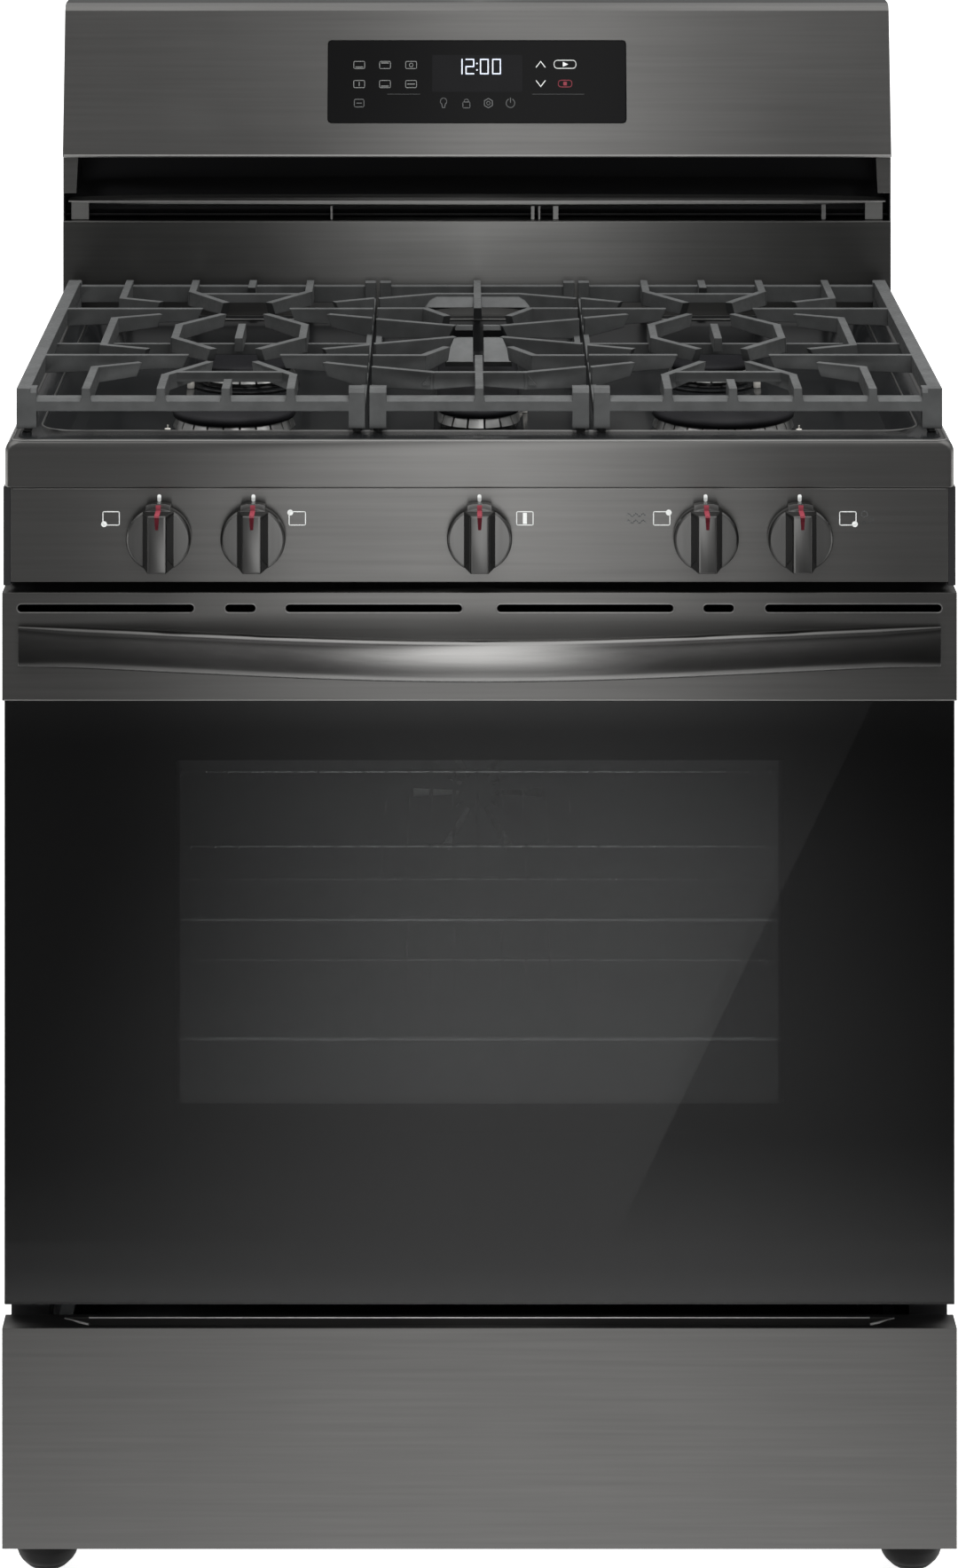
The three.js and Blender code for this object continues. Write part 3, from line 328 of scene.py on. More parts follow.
def rounded_outline(x0, x1, y0, y1, radius, steps=8):
    """A rectangle with round corners, as (x, y) points."""
    corners = [(x1 - radius, y0 + radius, -90), (x1 - radius, y1 - radius, 0),
               (x0 + radius, y1 - radius, 90), (x0 + radius, y0 + radius, 180)]
    points = []
    for cx, cy, start in corners:
        for i in range(steps + 1):
            angle = math.radians(start + 90 * i / steps)
            points.append((cx + radius * math.cos(angle), cy + radius * math.sin(angle)))
    return points


def stadium(half_width, half_length, steps=16):
    """Two half circles joined by straight sides along the depth, as (x, d) points about the middle.

    Where the straight sides would be shorter than a millimetre, it is one full circle.
    """
    straight = half_length - half_width
    if straight < 0.5:
        return [(x, d) for x, d, _ in circle(0, 0, 0, half_width, 2 * steps)]
    points = []
    for end, start in ((1, 0), (-1, math.pi)):
        for i in range(steps + 1):
            angle = start + math.pi * i / steps
            points.append((half_width * math.cos(angle), end * straight + half_width * math.sin(angle)))
    return points


def tube(bm, points, radius, count=10):
    """A round rod along a path, with flat ends."""
    path = [Vector(p) for p in points]
    rings = []
    side = None
    for i, p in enumerate(path):
        along = (path[min(i + 1, len(path) - 1)] - path[max(i - 1, 0)]).normalized()
        if side is None:
            side = along.orthogonal().normalized()
        side = (side - along * side.dot(along)).normalized()
        other = along.cross(side)
        angles = [2 * math.pi * k / count for k in range(count)]
        rings.append([p + (side * math.cos(a) + other * math.sin(a)) * radius for a in angles])
    loft(bm, rings)


def add_piece(name, bm, material, body, stands_for=(), sharp=35):
    """Finishes a mesh as a piece that moves with a body and may stand for CAD nodes."""
    for vert in bm.verts:
        vert.co = place(*vert.co)
    bmesh.ops.recalc_face_normals(bm, faces=bm.faces)
    for face in bm.faces:
        face.smooth = True
    mesh = bpy.data.meshes.new(name)
    bm.to_mesh(mesh)
    bm.free()
    mesh.set_sharp_from_angle(angle=math.radians(sharp))
    mesh.materials.append(material.data)
    piece = bpy.data.objects.new(name, mesh)
    scene.collection.objects.link(piece)
    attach(piece, body)
    if stands_for:
        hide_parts(*stands_for)


def extent(node):
    """Lowest and highest corners of a CAD node in millimetres as (x, d, z)."""
    low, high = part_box(node)
    return [(c.x * 1000, (c.y - FACE) * 1000, c.z * 1000) for c in (low, high)]


# ---------------------------------------------------------------- cooktop
WELL_HALF = 352  # half width of the enamelled well at its rim
WELL_FRONT, WELL_BACK = 38, 530  # depths of its front and back rims
WELL_FLOOR = 893  # height of its floor


def make_cooktop(materials):
    """A brushed skirt with a rounded edge, and the enamelled rim and well inside it."""
    (x0, d0, z0), (x1, d1, z1) = extent("cooktop")

    def outline(side, front, radius, z):
        points = rounded_outline(x0 + side, x1 - side, d0 + front, d1 - front, radius)
        return [(x, d, z) for x, d in points]

    skirt = bmesh.new()
    profile = [(1, 1, 5, z0 + 1), (0, 0, 6, z0), (0, 0, 6, z1 - 10), (0.3, 0.1, 6.2, z1 - 7.5),
               (1.3, 0.4, 6.8, z1 - 5), (2.8, 0.9, 7.8, z1 - 3), (5, 1.7, 9, z1 - 1.4),
               (7.4, 2.9, 10, z1 - 0.4), (10, 4.4, 11, z1), (10.4, 4.8, 11, z1 - 2), (2, 2, 6, z1 - 12)]
    loft(skirt, [outline(*row) for row in profile], closed=True)
    add_piece("cooktop_skirt", skirt, materials["black_stainless"], "body", ["cooktop"])

    def well(inset, radius, z):
        points = rounded_outline(-WELL_HALF + inset, WELL_HALF - inset,
                                 WELL_FRONT + inset, WELL_BACK - inset, radius)
        return [(x, d, z) for x, d in points]

    pan = bmesh.new()
    rings = [outline(9.6, 4.1, 11, z1 - 0.15), well(-3, 30, z1 - 0.15), well(1, 28, z1 - 1.4),
             well(3.5, 27, z1 - 6), well(9, 25, WELL_FLOOR + 5), well(12, 24, WELL_FLOOR + 1.4),
             well(18, 20, WELL_FLOOR)]
    loft(pan, rings, open_start=True)
    add_piece("cooktop_well", pan, materials["porcelain"], "body")


# ---------------------------------------------------------------- burners
HEAD_MARGIN = 5  # the flame ports stand about this far inside the edge of the burner base
PORT_PITCH = 14  # distance from one flame port to the next


def ring_offset(points, grow):
    """Moves each point of a convex outline outwards by the given distance."""
    moved = []
    for i, (x, y) in enumerate(points):
        (ax, ay), (bx, by) = points[i - 1], points[(i + 1) % len(points)]
        normal = Vector((by - ay, ax - bx)).normalized()
        moved.append((x + normal.x * grow, y + normal.y * grow))
    return moved


def locate(edges, walk):
    """The point at a distance along a closed outline, and the outward direction there."""
    for a, b in edges:
        a, b = Vector(a), Vector(b)
        span = (b - a).length
        if walk <= span:
            along = (b - a).normalized()
            return a + along * walk, Vector((along.y, -along.x))
        walk -= span
    return Vector(edges[0][0]), Vector((1, 0))


def make_burner(name, materials):
    """A cast head with flame ports round its rim, an igniter, and an enamelled cap."""
    (x0, d0, _), (x1, d1, z1) = extent(f"burner_base_{name}")
    cap_top = extent(f"burner_cap_{name}")[1][2]
    x, d = (x0 + x1) / 2, (d0 + d1) / 2
    half_width, half_length = (x1 - x0) / 2 - HEAD_MARGIN, (d1 - d0) / 2 - HEAD_MARGIN
    seat = WELL_FLOOR + 0.3
    outline = stadium(half_width, half_length)

    def ring(grow, z):
        return [(x + px, d + py, z) for px, py in ring_offset(outline, grow)]

    base = bmesh.new()
    loft(base, [ring(HEAD_MARGIN, seat), ring(HEAD_MARGIN, seat + 1.6), ring(4, seat + 2.4),
                ring(-1.5, seat + 3.4), ring(-3, seat + 6), ring(-3, z1 - 0.6), ring(-10, z1 - 0.8),
                ring(-11, z1 - 4)])
    add_piece(f"burner_base_ring_{name}", base, materials["porcelain"], "body",
              [f"burner_base_{name}"])

    ports = bmesh.new()
    edges = list(zip(outline, outline[1:] + outline[:1]))
    length = sum((Vector(a) - Vector(b)).length for a, b in edges)
    teeth = round(length / PORT_PITCH)
    step = length / teeth
    for i in range(teeth):
        stations = [locate(edges, (i + share) * step) for share in (0.06, 0.3, 0.5, 0.7, 0.94)]
        rings = []
        for point, out in stations:
            a, b, c = point - out * 4.6, point + out * 1.8, point - out * 1.4
            rings.append([(x + a.x, d + a.y, z1 - 7.6), (x + b.x, d + b.y, z1 - 7.6),
                          (x + c.x, d + c.y, z1 + 0.1), (x + a.x, d + a.y, z1 + 0.1)])
        loft(ports, rings)
    add_piece(f"flame_ports_{name}", ports, materials["port_metal"], "body")

    cap = bmesh.new()
    low, thick = z1 + 0.3, cap_top - z1 - 0.3
    profile = [(-9, -2.6), (-9, 0), (0.8, 0), (1.9, 0.14), (2.1, 0.30), (1.6, 0.50), (0.2, 0.64), (-3, 0.76)]
    rings = [ring(grow, low + (share * thick if share >= 0 else share)) for grow, share in profile]
    inner = min(half_width, half_length)
    rings += [ring(-inner * 0.35, low + thick * 0.92), ring(-inner * 0.75, low + thick)]
    loft(cap, rings)
    add_piece(f"burner_lid_{name}", cap, materials["cap_enamel"], f"cap_{name}",
              [f"burner_cap_{name}"])

    spark = bmesh.new()
    angle = math.radians(200 if x < 0 else -20)
    reach = half_width + 8.6
    px, py = x + reach * math.cos(angle), d + reach * math.sin(angle)
    profile = [(3.2, 0), (3.2, 6), (2.4, 7.4), (2.4, 9), (0.7, 9.4), (0.7, 12)]
    loft(spark, [circle(px, py, seat + rise, r, 16) for r, rise in profile])
    add_piece(f"igniter_{name}", spark, materials["ceramic"], "body")


def make_finger_tips(materials):
    """The flat, sloping tips of the four fingers that reach over the middle of the oval burner."""
    (_, d0, _), (_, d1, top) = extent("grate_center")
    middle = (d0 + d1) / 2
    inner = 4.5
    # Outer edge, distance from the middle and depth under the top, from each tip outwards.
    stations = ((20, 27, 0.4), (21, 34, 0.9), (24.5, 47, 7), (28, 60, 15))
    tips = bmesh.new()
    for side in (-1, 1):
        for end in (-1, 1):
            rings = []
            for outer, reach, under in stations:
                corners = ((inner, 0, 0), (outer, 0, 0), (outer, 1.5, 4), (inner, 1.5, 4))
                rings.append([(side * x, middle + end * (reach - lean), top - under - drop)
                              for x, lean, drop in corners])
            loft(tips, rings)
    add_piece("finger_tips", tips, materials["cast_iron"], "center_grate")


# ---------------------------------------------------------------- knobs
def make_knob(name, materials):
    """A disc with an index tab and a wedge grip, with a painted pointer over the grip's upper end."""
    (x0, front, z0), (x1, back, _) = extent(f"knob_{name}")
    x, radius = (x0 + x1) / 2, (x1 - x0) / 2
    z = z0 + radius
    skirt_front = front + 19
    dial = bmesh.new()
    rows = [(radius - 1.2, back), (radius, back - 0.8), (radius, skirt_front + 2.6),
            (radius - 0.7, skirt_front + 1), (radius - 2.0, skirt_front), (radius - 8, skirt_front - 0.2)]
    loft(dial, [circle(x, d, z, r, 72, "y") for r, d in rows])
    tab = [(-10.2, 20), (10.2, 20), (9.6, 27.2), (5, 28.3), (-5, 28.3), (-9.6, 27.2)]
    loft(dial, [[(x + a, d, z + b) for a, b in tab] for d in (back - 1.2, skirt_front + 0.2)])
    stations = [(skirt_front + 1, 12.3, 22.4, 1.2), (skirt_front - 2, 11.6, 22.6, 1.2),
                (front + 1.2, 7.5, 22.8, 1.0), (front + 0.3, 6.9, 22.3, 1.0), (front, 6.0, 21.6, 0.8)]
    grip = []
    for d, wide, tall, soft in stations:
        grip.append([(x + a, d, z + b) for a, b in rounded_outline(-wide, wide, -tall, tall, soft, 3)])
    loft(dial, grip)
    add_piece(f"dial_{name}", dial, materials["knob_metal"], f"dial_{name}",
              [f"knob_{name}"], 28)

    # Thin gloss-black plates over the grip's side walls: a painted dark reflection on the knob's metal.
    walls = bmesh.new()
    for side in (-1, 1):
        ring = []
        for d, wide, tall in ((skirt_front - 0.4, 12.2, 21.4), (front + 2.2, 8.0, 21.8)):
            ring.append([(x + side * (wide - 0.5), d, z - tall), (x + side * wide, d, z - tall),
                         (x + side * wide, d, z + tall), (x + side * (wide - 0.5), d, z + tall)])
        loft(walls, ring)
    add_piece(f"grip_walls_painted_reflection_{name}", walls, materials["gloss_black"], f"dial_{name}")

    # The red pointer glows a little: painted light that keeps its face on the grip as bright as its tab.
    pointer = bmesh.new()
    wide, slim, paint = 1.9, 1.2, 0.9

    def flat(d, low_half, low, high):
        """A strip facing forwards at depth d, from one height above the knob's middle to another."""
        corners = ((-low_half, low), (low_half, low), (wide, high), (-wide, high))
        loft(pointer, [[(x + a, depth, z + b) for a, b in corners] for depth in (d, d + paint)])

    flat(front, slim, 12, 22.1)
    block(pointer, x - wide, x + wide, front + 0.1, skirt_front, z + 22.3, z + 23.2)
    flat(skirt_front - 0.2, wide, 22.6, 27.4)
    add_piece(f"pointer_{name}", pointer, materials["red_ink_painted_glow"], f"dial_{name}")


# ---------------------------------------------------------------- printed marks
CONSOLE_FOOT = (549, 1069)  # depth and height at the foot of the leaning console face
CONSOLE_LEAN = 26 / 130.6
GLASS_PROUD = 0.6  # the touch glass stands this far in front of the console face


def console_d(z):
    """Depth of the leaning touch glass at a height."""
    foot_d, foot_z = CONSOLE_FOOT
    return max(extent("control_glass")[0][1], foot_d + (z - foot_z) * CONSOLE_LEAN - GLASS_PROUD)


def fill(bm, surface, outline, proud=0.12):
    """A filled shape of (x, z) points, printed on a surface given as depth by height."""
    loft(bm, [[(x, surface(z) + shift, z) for x, z in outline] for shift in (0.05, -proud)])


def stroke(bm, surface, points, width, closed=False):
    """A line of even width through (x, z) points."""
    path = list(points) + ([points[0]] if closed else [])
    for (ax, az), (bx, bz) in zip(path, path[1:]):
        along = Vector((bx - ax, bz - az)).normalized() * (width / 2)
        across = Vector((-along.y, along.x))
        a, b = Vector((ax, az)) - along * 0.9, Vector((bx, bz)) + along * 0.9
        fill(bm, surface, [a - across, b - across, b + across, a + across])


def arc(x, z, radius, start, end, steps):
    """Points along an arc, with its angles in degrees."""
    angles = [math.radians(start + (end - start) * i / steps) for i in range(steps + 1)]
    return [(x + radius * math.cos(a), z + radius * math.sin(a)) for a in angles]


DIGITS = {
    "0": [(0, 0), (1, 0), (1, 1), (0, 1), (0, 0)],
    "1": [(1, 0), (1, 1)],
    "2": [(0, 1), (1, 1), (1, 0.5), (0, 0.5), (0, 0), (1, 0)],
}
DIGIT_WIDTH, DIGIT_HEIGHT, DIGIT_FOOT = 7, 12.8, 1143.2
KEY_COLUMNS = (-107.8, -84.2, -60.3)
KEY_ROWS = (1151, 1134)
SYMBOL_ROW = 1117


def make_display(materials):
    """The clock, and pictograms where the touch keys are."""
    panel = bmesh.new()
    fill(panel, console_d, rounded_outline(-41, 41.5, 1127, 1160, 1, 3), 0.05)
    add_piece("display_window", panel, materials["display"], "body")

    clock = bmesh.new()
    for digit, left in (("1", -20.7), ("2", -10), ("0", 3.2), ("0", 14.4)):
        line = [(left + DIGIT_WIDTH * x, DIGIT_FOOT + DIGIT_HEIGHT * z) for x, z in DIGITS[digit]]
        stroke(clock, console_d, line, 1.05)
    for z in (1146.6, 1152.4):
        fill(clock, console_d, arc(0, z, 0.75, 0, 330, 11))
    add_piece("clock_digits", clock, materials["bright_ink"], "body")

    keys = bmesh.new()
    for x in KEY_COLUMNS:
        for z in KEY_ROWS:
            stroke(keys, console_d, rounded_outline(x - 5, x + 5, z - 3.2, z + 3.2, 1, 2), 0.45, True)
    for x, z in ((-107.8, 1149.2), (-84.2, 1152.8), (-84.2, 1132.2), (-60.3, 1134)):
        stroke(keys, console_d, [(x - 3.2, z), (x + 3.2, z)], 0.6)
    stroke(keys, console_d, arc(-60.3, 1151, 1.7, 0, 360, 12), 0.45)
    stroke(keys, console_d, [(-107.8, 1132.4), (-107.8, 1135.6)], 0.6)
    add_piece("key_marks", keys, materials["soft_ink_painted_glow"], "body")

    go = bmesh.new()
    for z, up in ((1151.6, 1), (1134.4, -1)):
        stroke(go, console_d, [(54.2, z - 2.6 * up), (58.3, z + 2.6 * up), (62.4, z - 2.6 * up)], 0.7)
    stroke(go, console_d, rounded_outline(70.6, 90.6, 1148, 1155.2, 3, 4), 0.6, True)
    fill(go, console_d, [(78.6, 1149.4), (83.6, 1151.6), (78.6, 1153.8)])
    add_piece("start_marks", go, materials["pale_ink_painted_glow"], "body")

    stop = bmesh.new()
    stroke(stop, console_d, rounded_outline(74.4, 86.8, 1131.4, 1137.4, 2.5, 4), 0.6, True)
    fill(stop, console_d, [(79, 1132.8), (82.2, 1132.8), (82.2, 1136), (79, 1136)])
    add_piece("stop_mark", stop, materials["red_ink_painted_glow"], "body")

    dim = bmesh.new()
    stroke(dim, console_d, rounded_outline(-112.2, -103.4, 1113.6, 1120.4, 1.2, 3), 0.6, True)
    stroke(dim, console_d, [(-110, SYMBOL_ROW), (-105.6, SYMBOL_ROW)], 0.6)
    for x0, x1 in ((50.6, 98), (-82, -52)):
        stroke(dim, console_d, [(x0, 1125), (x1, 1125)], 0.2)
    stroke(dim, console_d, arc(-30.6, 1118.6, 2.9, -50, 230, 16), 0.6)
    stroke(dim, console_d, [(-32.2, 1116), (-31.6, 1113), (-29.6, 1113), (-29.0, 1116)], 0.6)
    stroke(dim, console_d, rounded_outline(-12.9, -6.5, 1112.8, 1118, 0.8, 3), 0.6, True)
    stroke(dim, console_d, arc(-9.7, 1118.4, 2.1, 0, 180, 10), 0.6)
    stroke(dim, console_d, arc(10.4, SYMBOL_ROW, 4.2, 30, 390, 6), 0.7)
    stroke(dim, console_d, arc(10.4, SYMBOL_ROW, 1.6, 0, 360, 12), 0.6)
    stroke(dim, console_d, arc(30.6, SYMBOL_ROW, 3.9, 120, 420, 18), 0.7)
    stroke(dim, console_d, [(30.6, 1117.6), (30.6, 1121.6)], 0.7)
    add_piece("faint_marks", dim, materials["faint_ink_painted_glow"], "body")


def make_panel_marks(materials):
    """A tick over each knob, a small plan that shows which burner it feeds, and a few faint marks."""
    front = extent("knob_panel")[0][1]
    marks = bmesh.new()

    def face(_):
        return front

    for name in BURNERS:
        (x0, _, _), (x1, _, _) = extent(f"knob_{name}")
        x = (x0 + x1) / 2
        fill(marks, face, rounded_outline(x - 1.5, x + 1.5, 875.2, 881, 1.2, 3))
    for x, dot in ((-292.8, (-1, -1)), (-144.8, (-1, 1)), (144.8, (1, 1)), (292.8, (1, -1)), (36.1, None)):
        stroke(marks, face, rounded_outline(x - 6.5, x + 6.5, 856.7, 867.3, 1, 3), 0.7, True)
        if dot:
            fill(marks, face, arc(x + dot[0] * 5.6, 862 + dot[1] * 4.6, 2.3, 0, 342, 19))
        else:
            fill(marks, face, [(x - 1.6, 857.6), (x + 1.6, 857.6), (x + 1.6, 866.4), (x - 1.6, 866.4)])
    add_piece("burner_plans", marks, materials["pale_ink_painted_glow"], "body")

    faint = bmesh.new()
    for z in (859.4, 864.6):
        wave = [(117 + 1.2 * i, z + 1.2 * math.sin(i * 1.3)) for i in range(14)]
        stroke(faint, face, wave, 0.8)
    for x, z, radius in ((306, 865.4, 2.4), (311, 860.8, 1.8), (305.4, 858.6, 1.3)):
        stroke(faint, face, arc(x, z, radius, 0, 360, 14), 0.7)
    add_piece("flame_marks", faint, materials["faint_ink_painted_glow"], "body")


# ---------------------------------------------------------------- door
def make_handle(materials):
    """A bowed bar whose front is crowned; its ends turn in to the door face."""
    (_, front, z0), (half, _, z1) = extent("door_handle")
    z, tall = (z0 + z1) / 2, (z1 - z0) / 2
    reach = -front
    bar = bmesh.new()
    rings = []
    stations, around = 72, 28
    for i in range(stations + 1):
        x = -half * math.cos(math.pi * i / stations)
        u = abs(x) / half
        bow = 0.66 * math.cos(math.pi * u / 2) + 0.17 * (1 + math.cos(math.pi * u))
        out = 8 + (reach - 8) * bow
        thick = min(15, out - 0.3)
        section = []
        for k in range(around):
            angle = 2 * math.pi * k / around
            a, b = math.cos(angle), math.sin(angle)
            across = math.copysign(abs(a) ** 0.75, a)
            up = math.copysign(abs(b) ** 0.62, b)
            section.append((x, -(out - thick / 2) - across * thick / 2, z + up * tall))
        rings.append(section)
    loft(bar, rings)
    add_piece("handle_bar", bar, materials["handle_steel"], "door", ["door_handle"], 50)


TRIM_SLOTS = ((84, 70), (190, 12), (297, 70))  # middle and half length of the vent slots on each side
TRIM_SLOT_LOW, TRIM_SLOT_HIGH = 787.4, 794.6  # heights of their rims
PULL_HALF = 311  # half width of the drawer's finger recess, without its sloping ends


def make_edges(materials):
    """Painted highlights: tubes of brighter metal along folded edges, cut edges and the rims of the door's
    slots, and along the drawer's finger recess.
    """
    (x0, d0, z0), (x1, d1, z1) = extent("cooktop")
    body = bmesh.new()
    lip = extent("backguard_console")[0]
    tube(body, [(lip[0] + 0.6, lip[1] + 0.9, lip[2] + 0.9), (-lip[0] - 0.6, lip[1] + 0.9, lip[2] + 0.9)], 1.4)
    fold = rounded_outline(x0 + 6.1, x1 - 6.1, d0 + 2.2, d1 - 2.2, 9)
    tube(body, [(x, d, z1 - 1.0) for x, d in fold + fold[:1]], 0.7, 8)
    edge = rounded_outline(-WELL_HALF - 1, WELL_HALF + 1, WELL_FRONT - 1, WELL_BACK + 1, 28)
    tube(body, [(x, d, z1 - 0.2) for x, d in edge + edge[:1]], 0.8, 8)
    tube(body, [(x0 + 7, 2.3, z0 - 1.5), (x1 - 7, 2.3, z0 - 1.5)], 0.5, 8)
    add_piece("folded_edges", body, materials["painted_highlight_metal"], "body")

    door = bmesh.new()
    (x0, _, z0), (x1, _, _) = extent("door_top_panel")
    tube(door, [(x0 + 1, 0.4, z0 + 0.5), (x1 - 1, 0.4, z0 + 0.5)], 0.6, 8)
    for center, half in TRIM_SLOTS:
        for x in (center, -center):
            rim = rounded_outline(x - half - 0.6, x + half + 0.6, TRIM_SLOT_LOW, TRIM_SLOT_HIGH, 3.5, 5)
            tube(door, [(px, 0.35, pz) for px, pz in rim + rim[:1]], 0.55, 6)
    add_piece("slot_rims", door, materials["painted_highlight_metal"], "door")

    # The drawer recess edge is bright port metal: a painted highlight line.
    drawer = bmesh.new()
    z = extent("drawer_front")[1][2] - 0.4
    tube(drawer, [(-PULL_HALF - 1, 22.4, z), (PULL_HALF + 1, 22.4, z)], 0.9, 8)
    for side in (-1, 1):
        slope = [(side * (PULL_HALF + out), d, z) for out, d in ((20, 20.5), (10, 15), (0, 9.5))]
        tube(drawer, slope, 1.1, 8)
    add_piece("drawer_pull_edge", drawer, materials["port_metal"], "drawer")


def make_cheeks(materials):
    """Brushed ends of the recess under the console."""
    console = extent("backguard_console")[0]
    riser = extent("backguard_riser")[0]
    low, high = 1035.4, console[2] - 0.5
    cheeks = bmesh.new()
    for side in (-1, 1):
        corners = ((0.1, low), (12, low), (13.6, high), (0.1, high))
        loft(cheeks, [[(side * (riser[0] + inset), d, z) for inset, z in corners]
                      for d in (riser[1] + 0.4, riser[1] + 46)])
    add_piece("recess_cheeks", cheeks, materials["black_stainless"], "body")


CLEAR = (-242, 242, 373, 669.5)  # clear area of the outer glass as x0, x1, z0, z1
SILL = 385.8  # lowest clear height of the inner pane


def make_frit(materials):
    """Black print: behind the outer glass and on its edges, and low in front of the inner pane."""
    (x0, d0, z0), (x1, d1, z1) = extent("door_glass")
    left, right, low, high = CLEAR
    near, far = d1 + 0.05, d1 + 0.25
    frit = bmesh.new()
    block(frit, x0, x1, near, far, z0, low)
    block(frit, x0, x1, near, far, high, z1)
    block(frit, x0, left, near, far, low, high)
    block(frit, right, x1, near, far, low, high)
    block(frit, -x1 - 0.3, -x1 - 0.05, d0 + 0.3, far, z0, z1)
    block(frit, x1 + 0.05, x1 + 0.3, d0 + 0.3, far, z0, z1)
    block(frit, x0, x1, d0 + 0.3, far, z0 - 0.3, z0 - 0.05)
    pane = extent("door_window_glass")[0]
    block(frit, pane[0] + 3, -pane[0] - 3, pane[1] - 0.3, pane[1] - 0.1, SILL - 25, SILL)
    add_piece("door_frit", frit, materials["frit"], "door")


# ---------------------------------------------------------------- back and sides
def make_back_details(materials):
    """Screws, stiffening ribs, and cooling slots drawn as flat black shapes: painted shade where the openings
    would be.
    """
    back = extent("back_panel")[1][1]
    (_, _, low), (_, rear, top) = extent("backguard_housing")
    screws = bmesh.new()
    spots = [(x, z, back) for x in (-366, 366) for z in (260, 415, 570, 725, 874)]
    spots += [(x, z, back) for z in (80, 874) for x in (-220, 0, 220)]
    spots += [(x, z, rear - 0.87) for x in (-360, -120, 120, 360) for z in (low + 16, top - 14)]
    for x, z, d in spots:
        loft(screws, [circle(x, d + 0.7, z, 6.0, 24, "y"), circle(x, d + 0.9, z, 5.2, 24, "y"),
                      circle(x, d - 0.5, z, 5.2, 24, "y")])
    add_piece("rear_screws", screws, materials["aluminium"], "body")

    ribs = bmesh.new()
    for z in (330, 480, 630, 780):
        rings = []
        for inset, rise in ((0, -0.2), (1.5, 0.4), (4, 0.9), (6.5, 1.0)):
            outline = rounded_outline(-270 + inset, 270 - inset, z - 9 + inset, z + 9 - inset, 8.5 - inset, 6)
            rings.append([(a, back + rise, b) for a, b in outline])
        loft(ribs, rings)
    add_piece("back_ribs", ribs, materials["galvanized"], "body")

    # Flat black shapes standing just proud of the housing: painted shade in place of open slots.
    slots = bmesh.new()
    for row in range(4):
        for column in range(-5, 6):
            x, z = column * 62, top - 60 - row * 16
            outline = rounded_outline(x - 22, x + 22, z - 2.5, z + 2.5, 2.4, 5)
            loft(slots, [[(a, d, b) for a, b in outline] for d in (rear + 0.03, rear - 0.4)])
    add_piece("cooling_slots_painted_shade", slots, materials["frit"], "body")


def make_side_fields(materials):
    """The raised field of each side panel, and the screws round it."""
    for hand, side in (("left", -1), ("right", 1)):
        face = abs(extent(f"side_panel_{hand}")[0 if side < 0 else 1][0])
        field = bmesh.new()
        rings = []
        for inset, rise in ((0, -0.3), (1, 0.25), (4, 1.0), (7, 1.2)):
            outline = rounded_outline(105 + inset, 600 - inset, 120 + inset, 820 - inset, 30 - inset)
            rings.append([(side * (face + rise), d, z) for d, z in outline])
        loft(field, rings)
        for d, z in ((90, 62), (345, 62), (620, 62), (632, 300), (632, 560), (632, 820)):
            for radius, low, high in ((6.0, -0.2, 1.0), (3.6, 0.8, 1.9)):
                head = [[(side * (face + rise), a, b) for a, _, b in circle(d, 0, z, radius, 20, "y")]
                        for rise in (low, high)]
                loft(field, head)
        add_piece(f"side_field_{hand}", field, materials["black_paint"], "body")


# ---------------------------------------------------------------- racks
FRAME_WIRE = 2.2  # radius of the front, rear and middle cross wires
WIRE_PITCH = 20.5  # from one long wire to the next


def make_rack(name, materials):
    """Round wires: a frame, a cross wire in the middle, and long wires, half of them turned up in front."""
    (x0, d0, _), (x1, d1, z1) = extent(f"rack_{name}")
    rack = bmesh.new()
    top = z1 - FRAME_WIRE
    middle = (d0 + d1) / 2 - 9
    for d, z in ((d0 + FRAME_WIRE, top), (d1 - FRAME_WIRE, top), (middle, top - 1.3)):
        tube(rack, [(x0 + 6, d, z), (x1 - 6, d, z)], FRAME_WIRE)
    for x in (x0 + 3, x1 - 3):
        tube(rack, [(x, d0 + 1, top - 0.1), (x, d1 - 1, top - 0.1)], 2.4)
    for i in range(-13, 14):
        x = i * WIRE_PITCH
        tube(rack, [(x, d0 + 1, top), (x, d1 - 1, top)], 1.5, 8)
        if i % 2:
            tube(rack, [(x, d0 + 1.6, top), (x, d0 + 1.6, top + 4.4)], 1.4, 8)
    add_piece(f"rack_wires_{name}", rack, materials["chrome_wire"], f"{name}_rack",
              [f"rack_{name}"])


# ---------------------------------------------------------------- feet
def make_foot(corner, materials):
    """A moulded foot, narrow at the floor, with a small step and a groove."""
    (x0, d0, _), (x1, d1, z1) = extent(f"foot_{corner}")
    x, d = (x0 + x1) / 2, (d0 + d1) / 2
    foot = bmesh.new()
    profile = [(9.0, 0), (10.2, 0.6), (16, 4.2), (19.2, 7.2), (19.5, 8.2), (21.4, 9.4), (23.4, 12.6),
               (25.7, 19.6), (26, 21), (26, 30), (25, 31), (25, 33), (26, 34), (26, z1)]
    loft(foot, [circle(x, d, z, r, 40) for r, z in profile])
    add_piece(f"glide_{corner}", foot, materials["rubber"], "body", [f"foot_{corner}"])


# ---------------------------------------------------------------- studio
def sheet(name, corners, material):
    """A flat studio surface, in metres."""
    mesh = bpy.data.meshes.new(name)
    mesh.from_pydata(corners, [], [tuple(range(len(corners)))])
    piece = bpy.data.objects.new(name, mesh)
    piece.data.materials.append(material)
    scene.collection.objects.link(piece)
    return piece


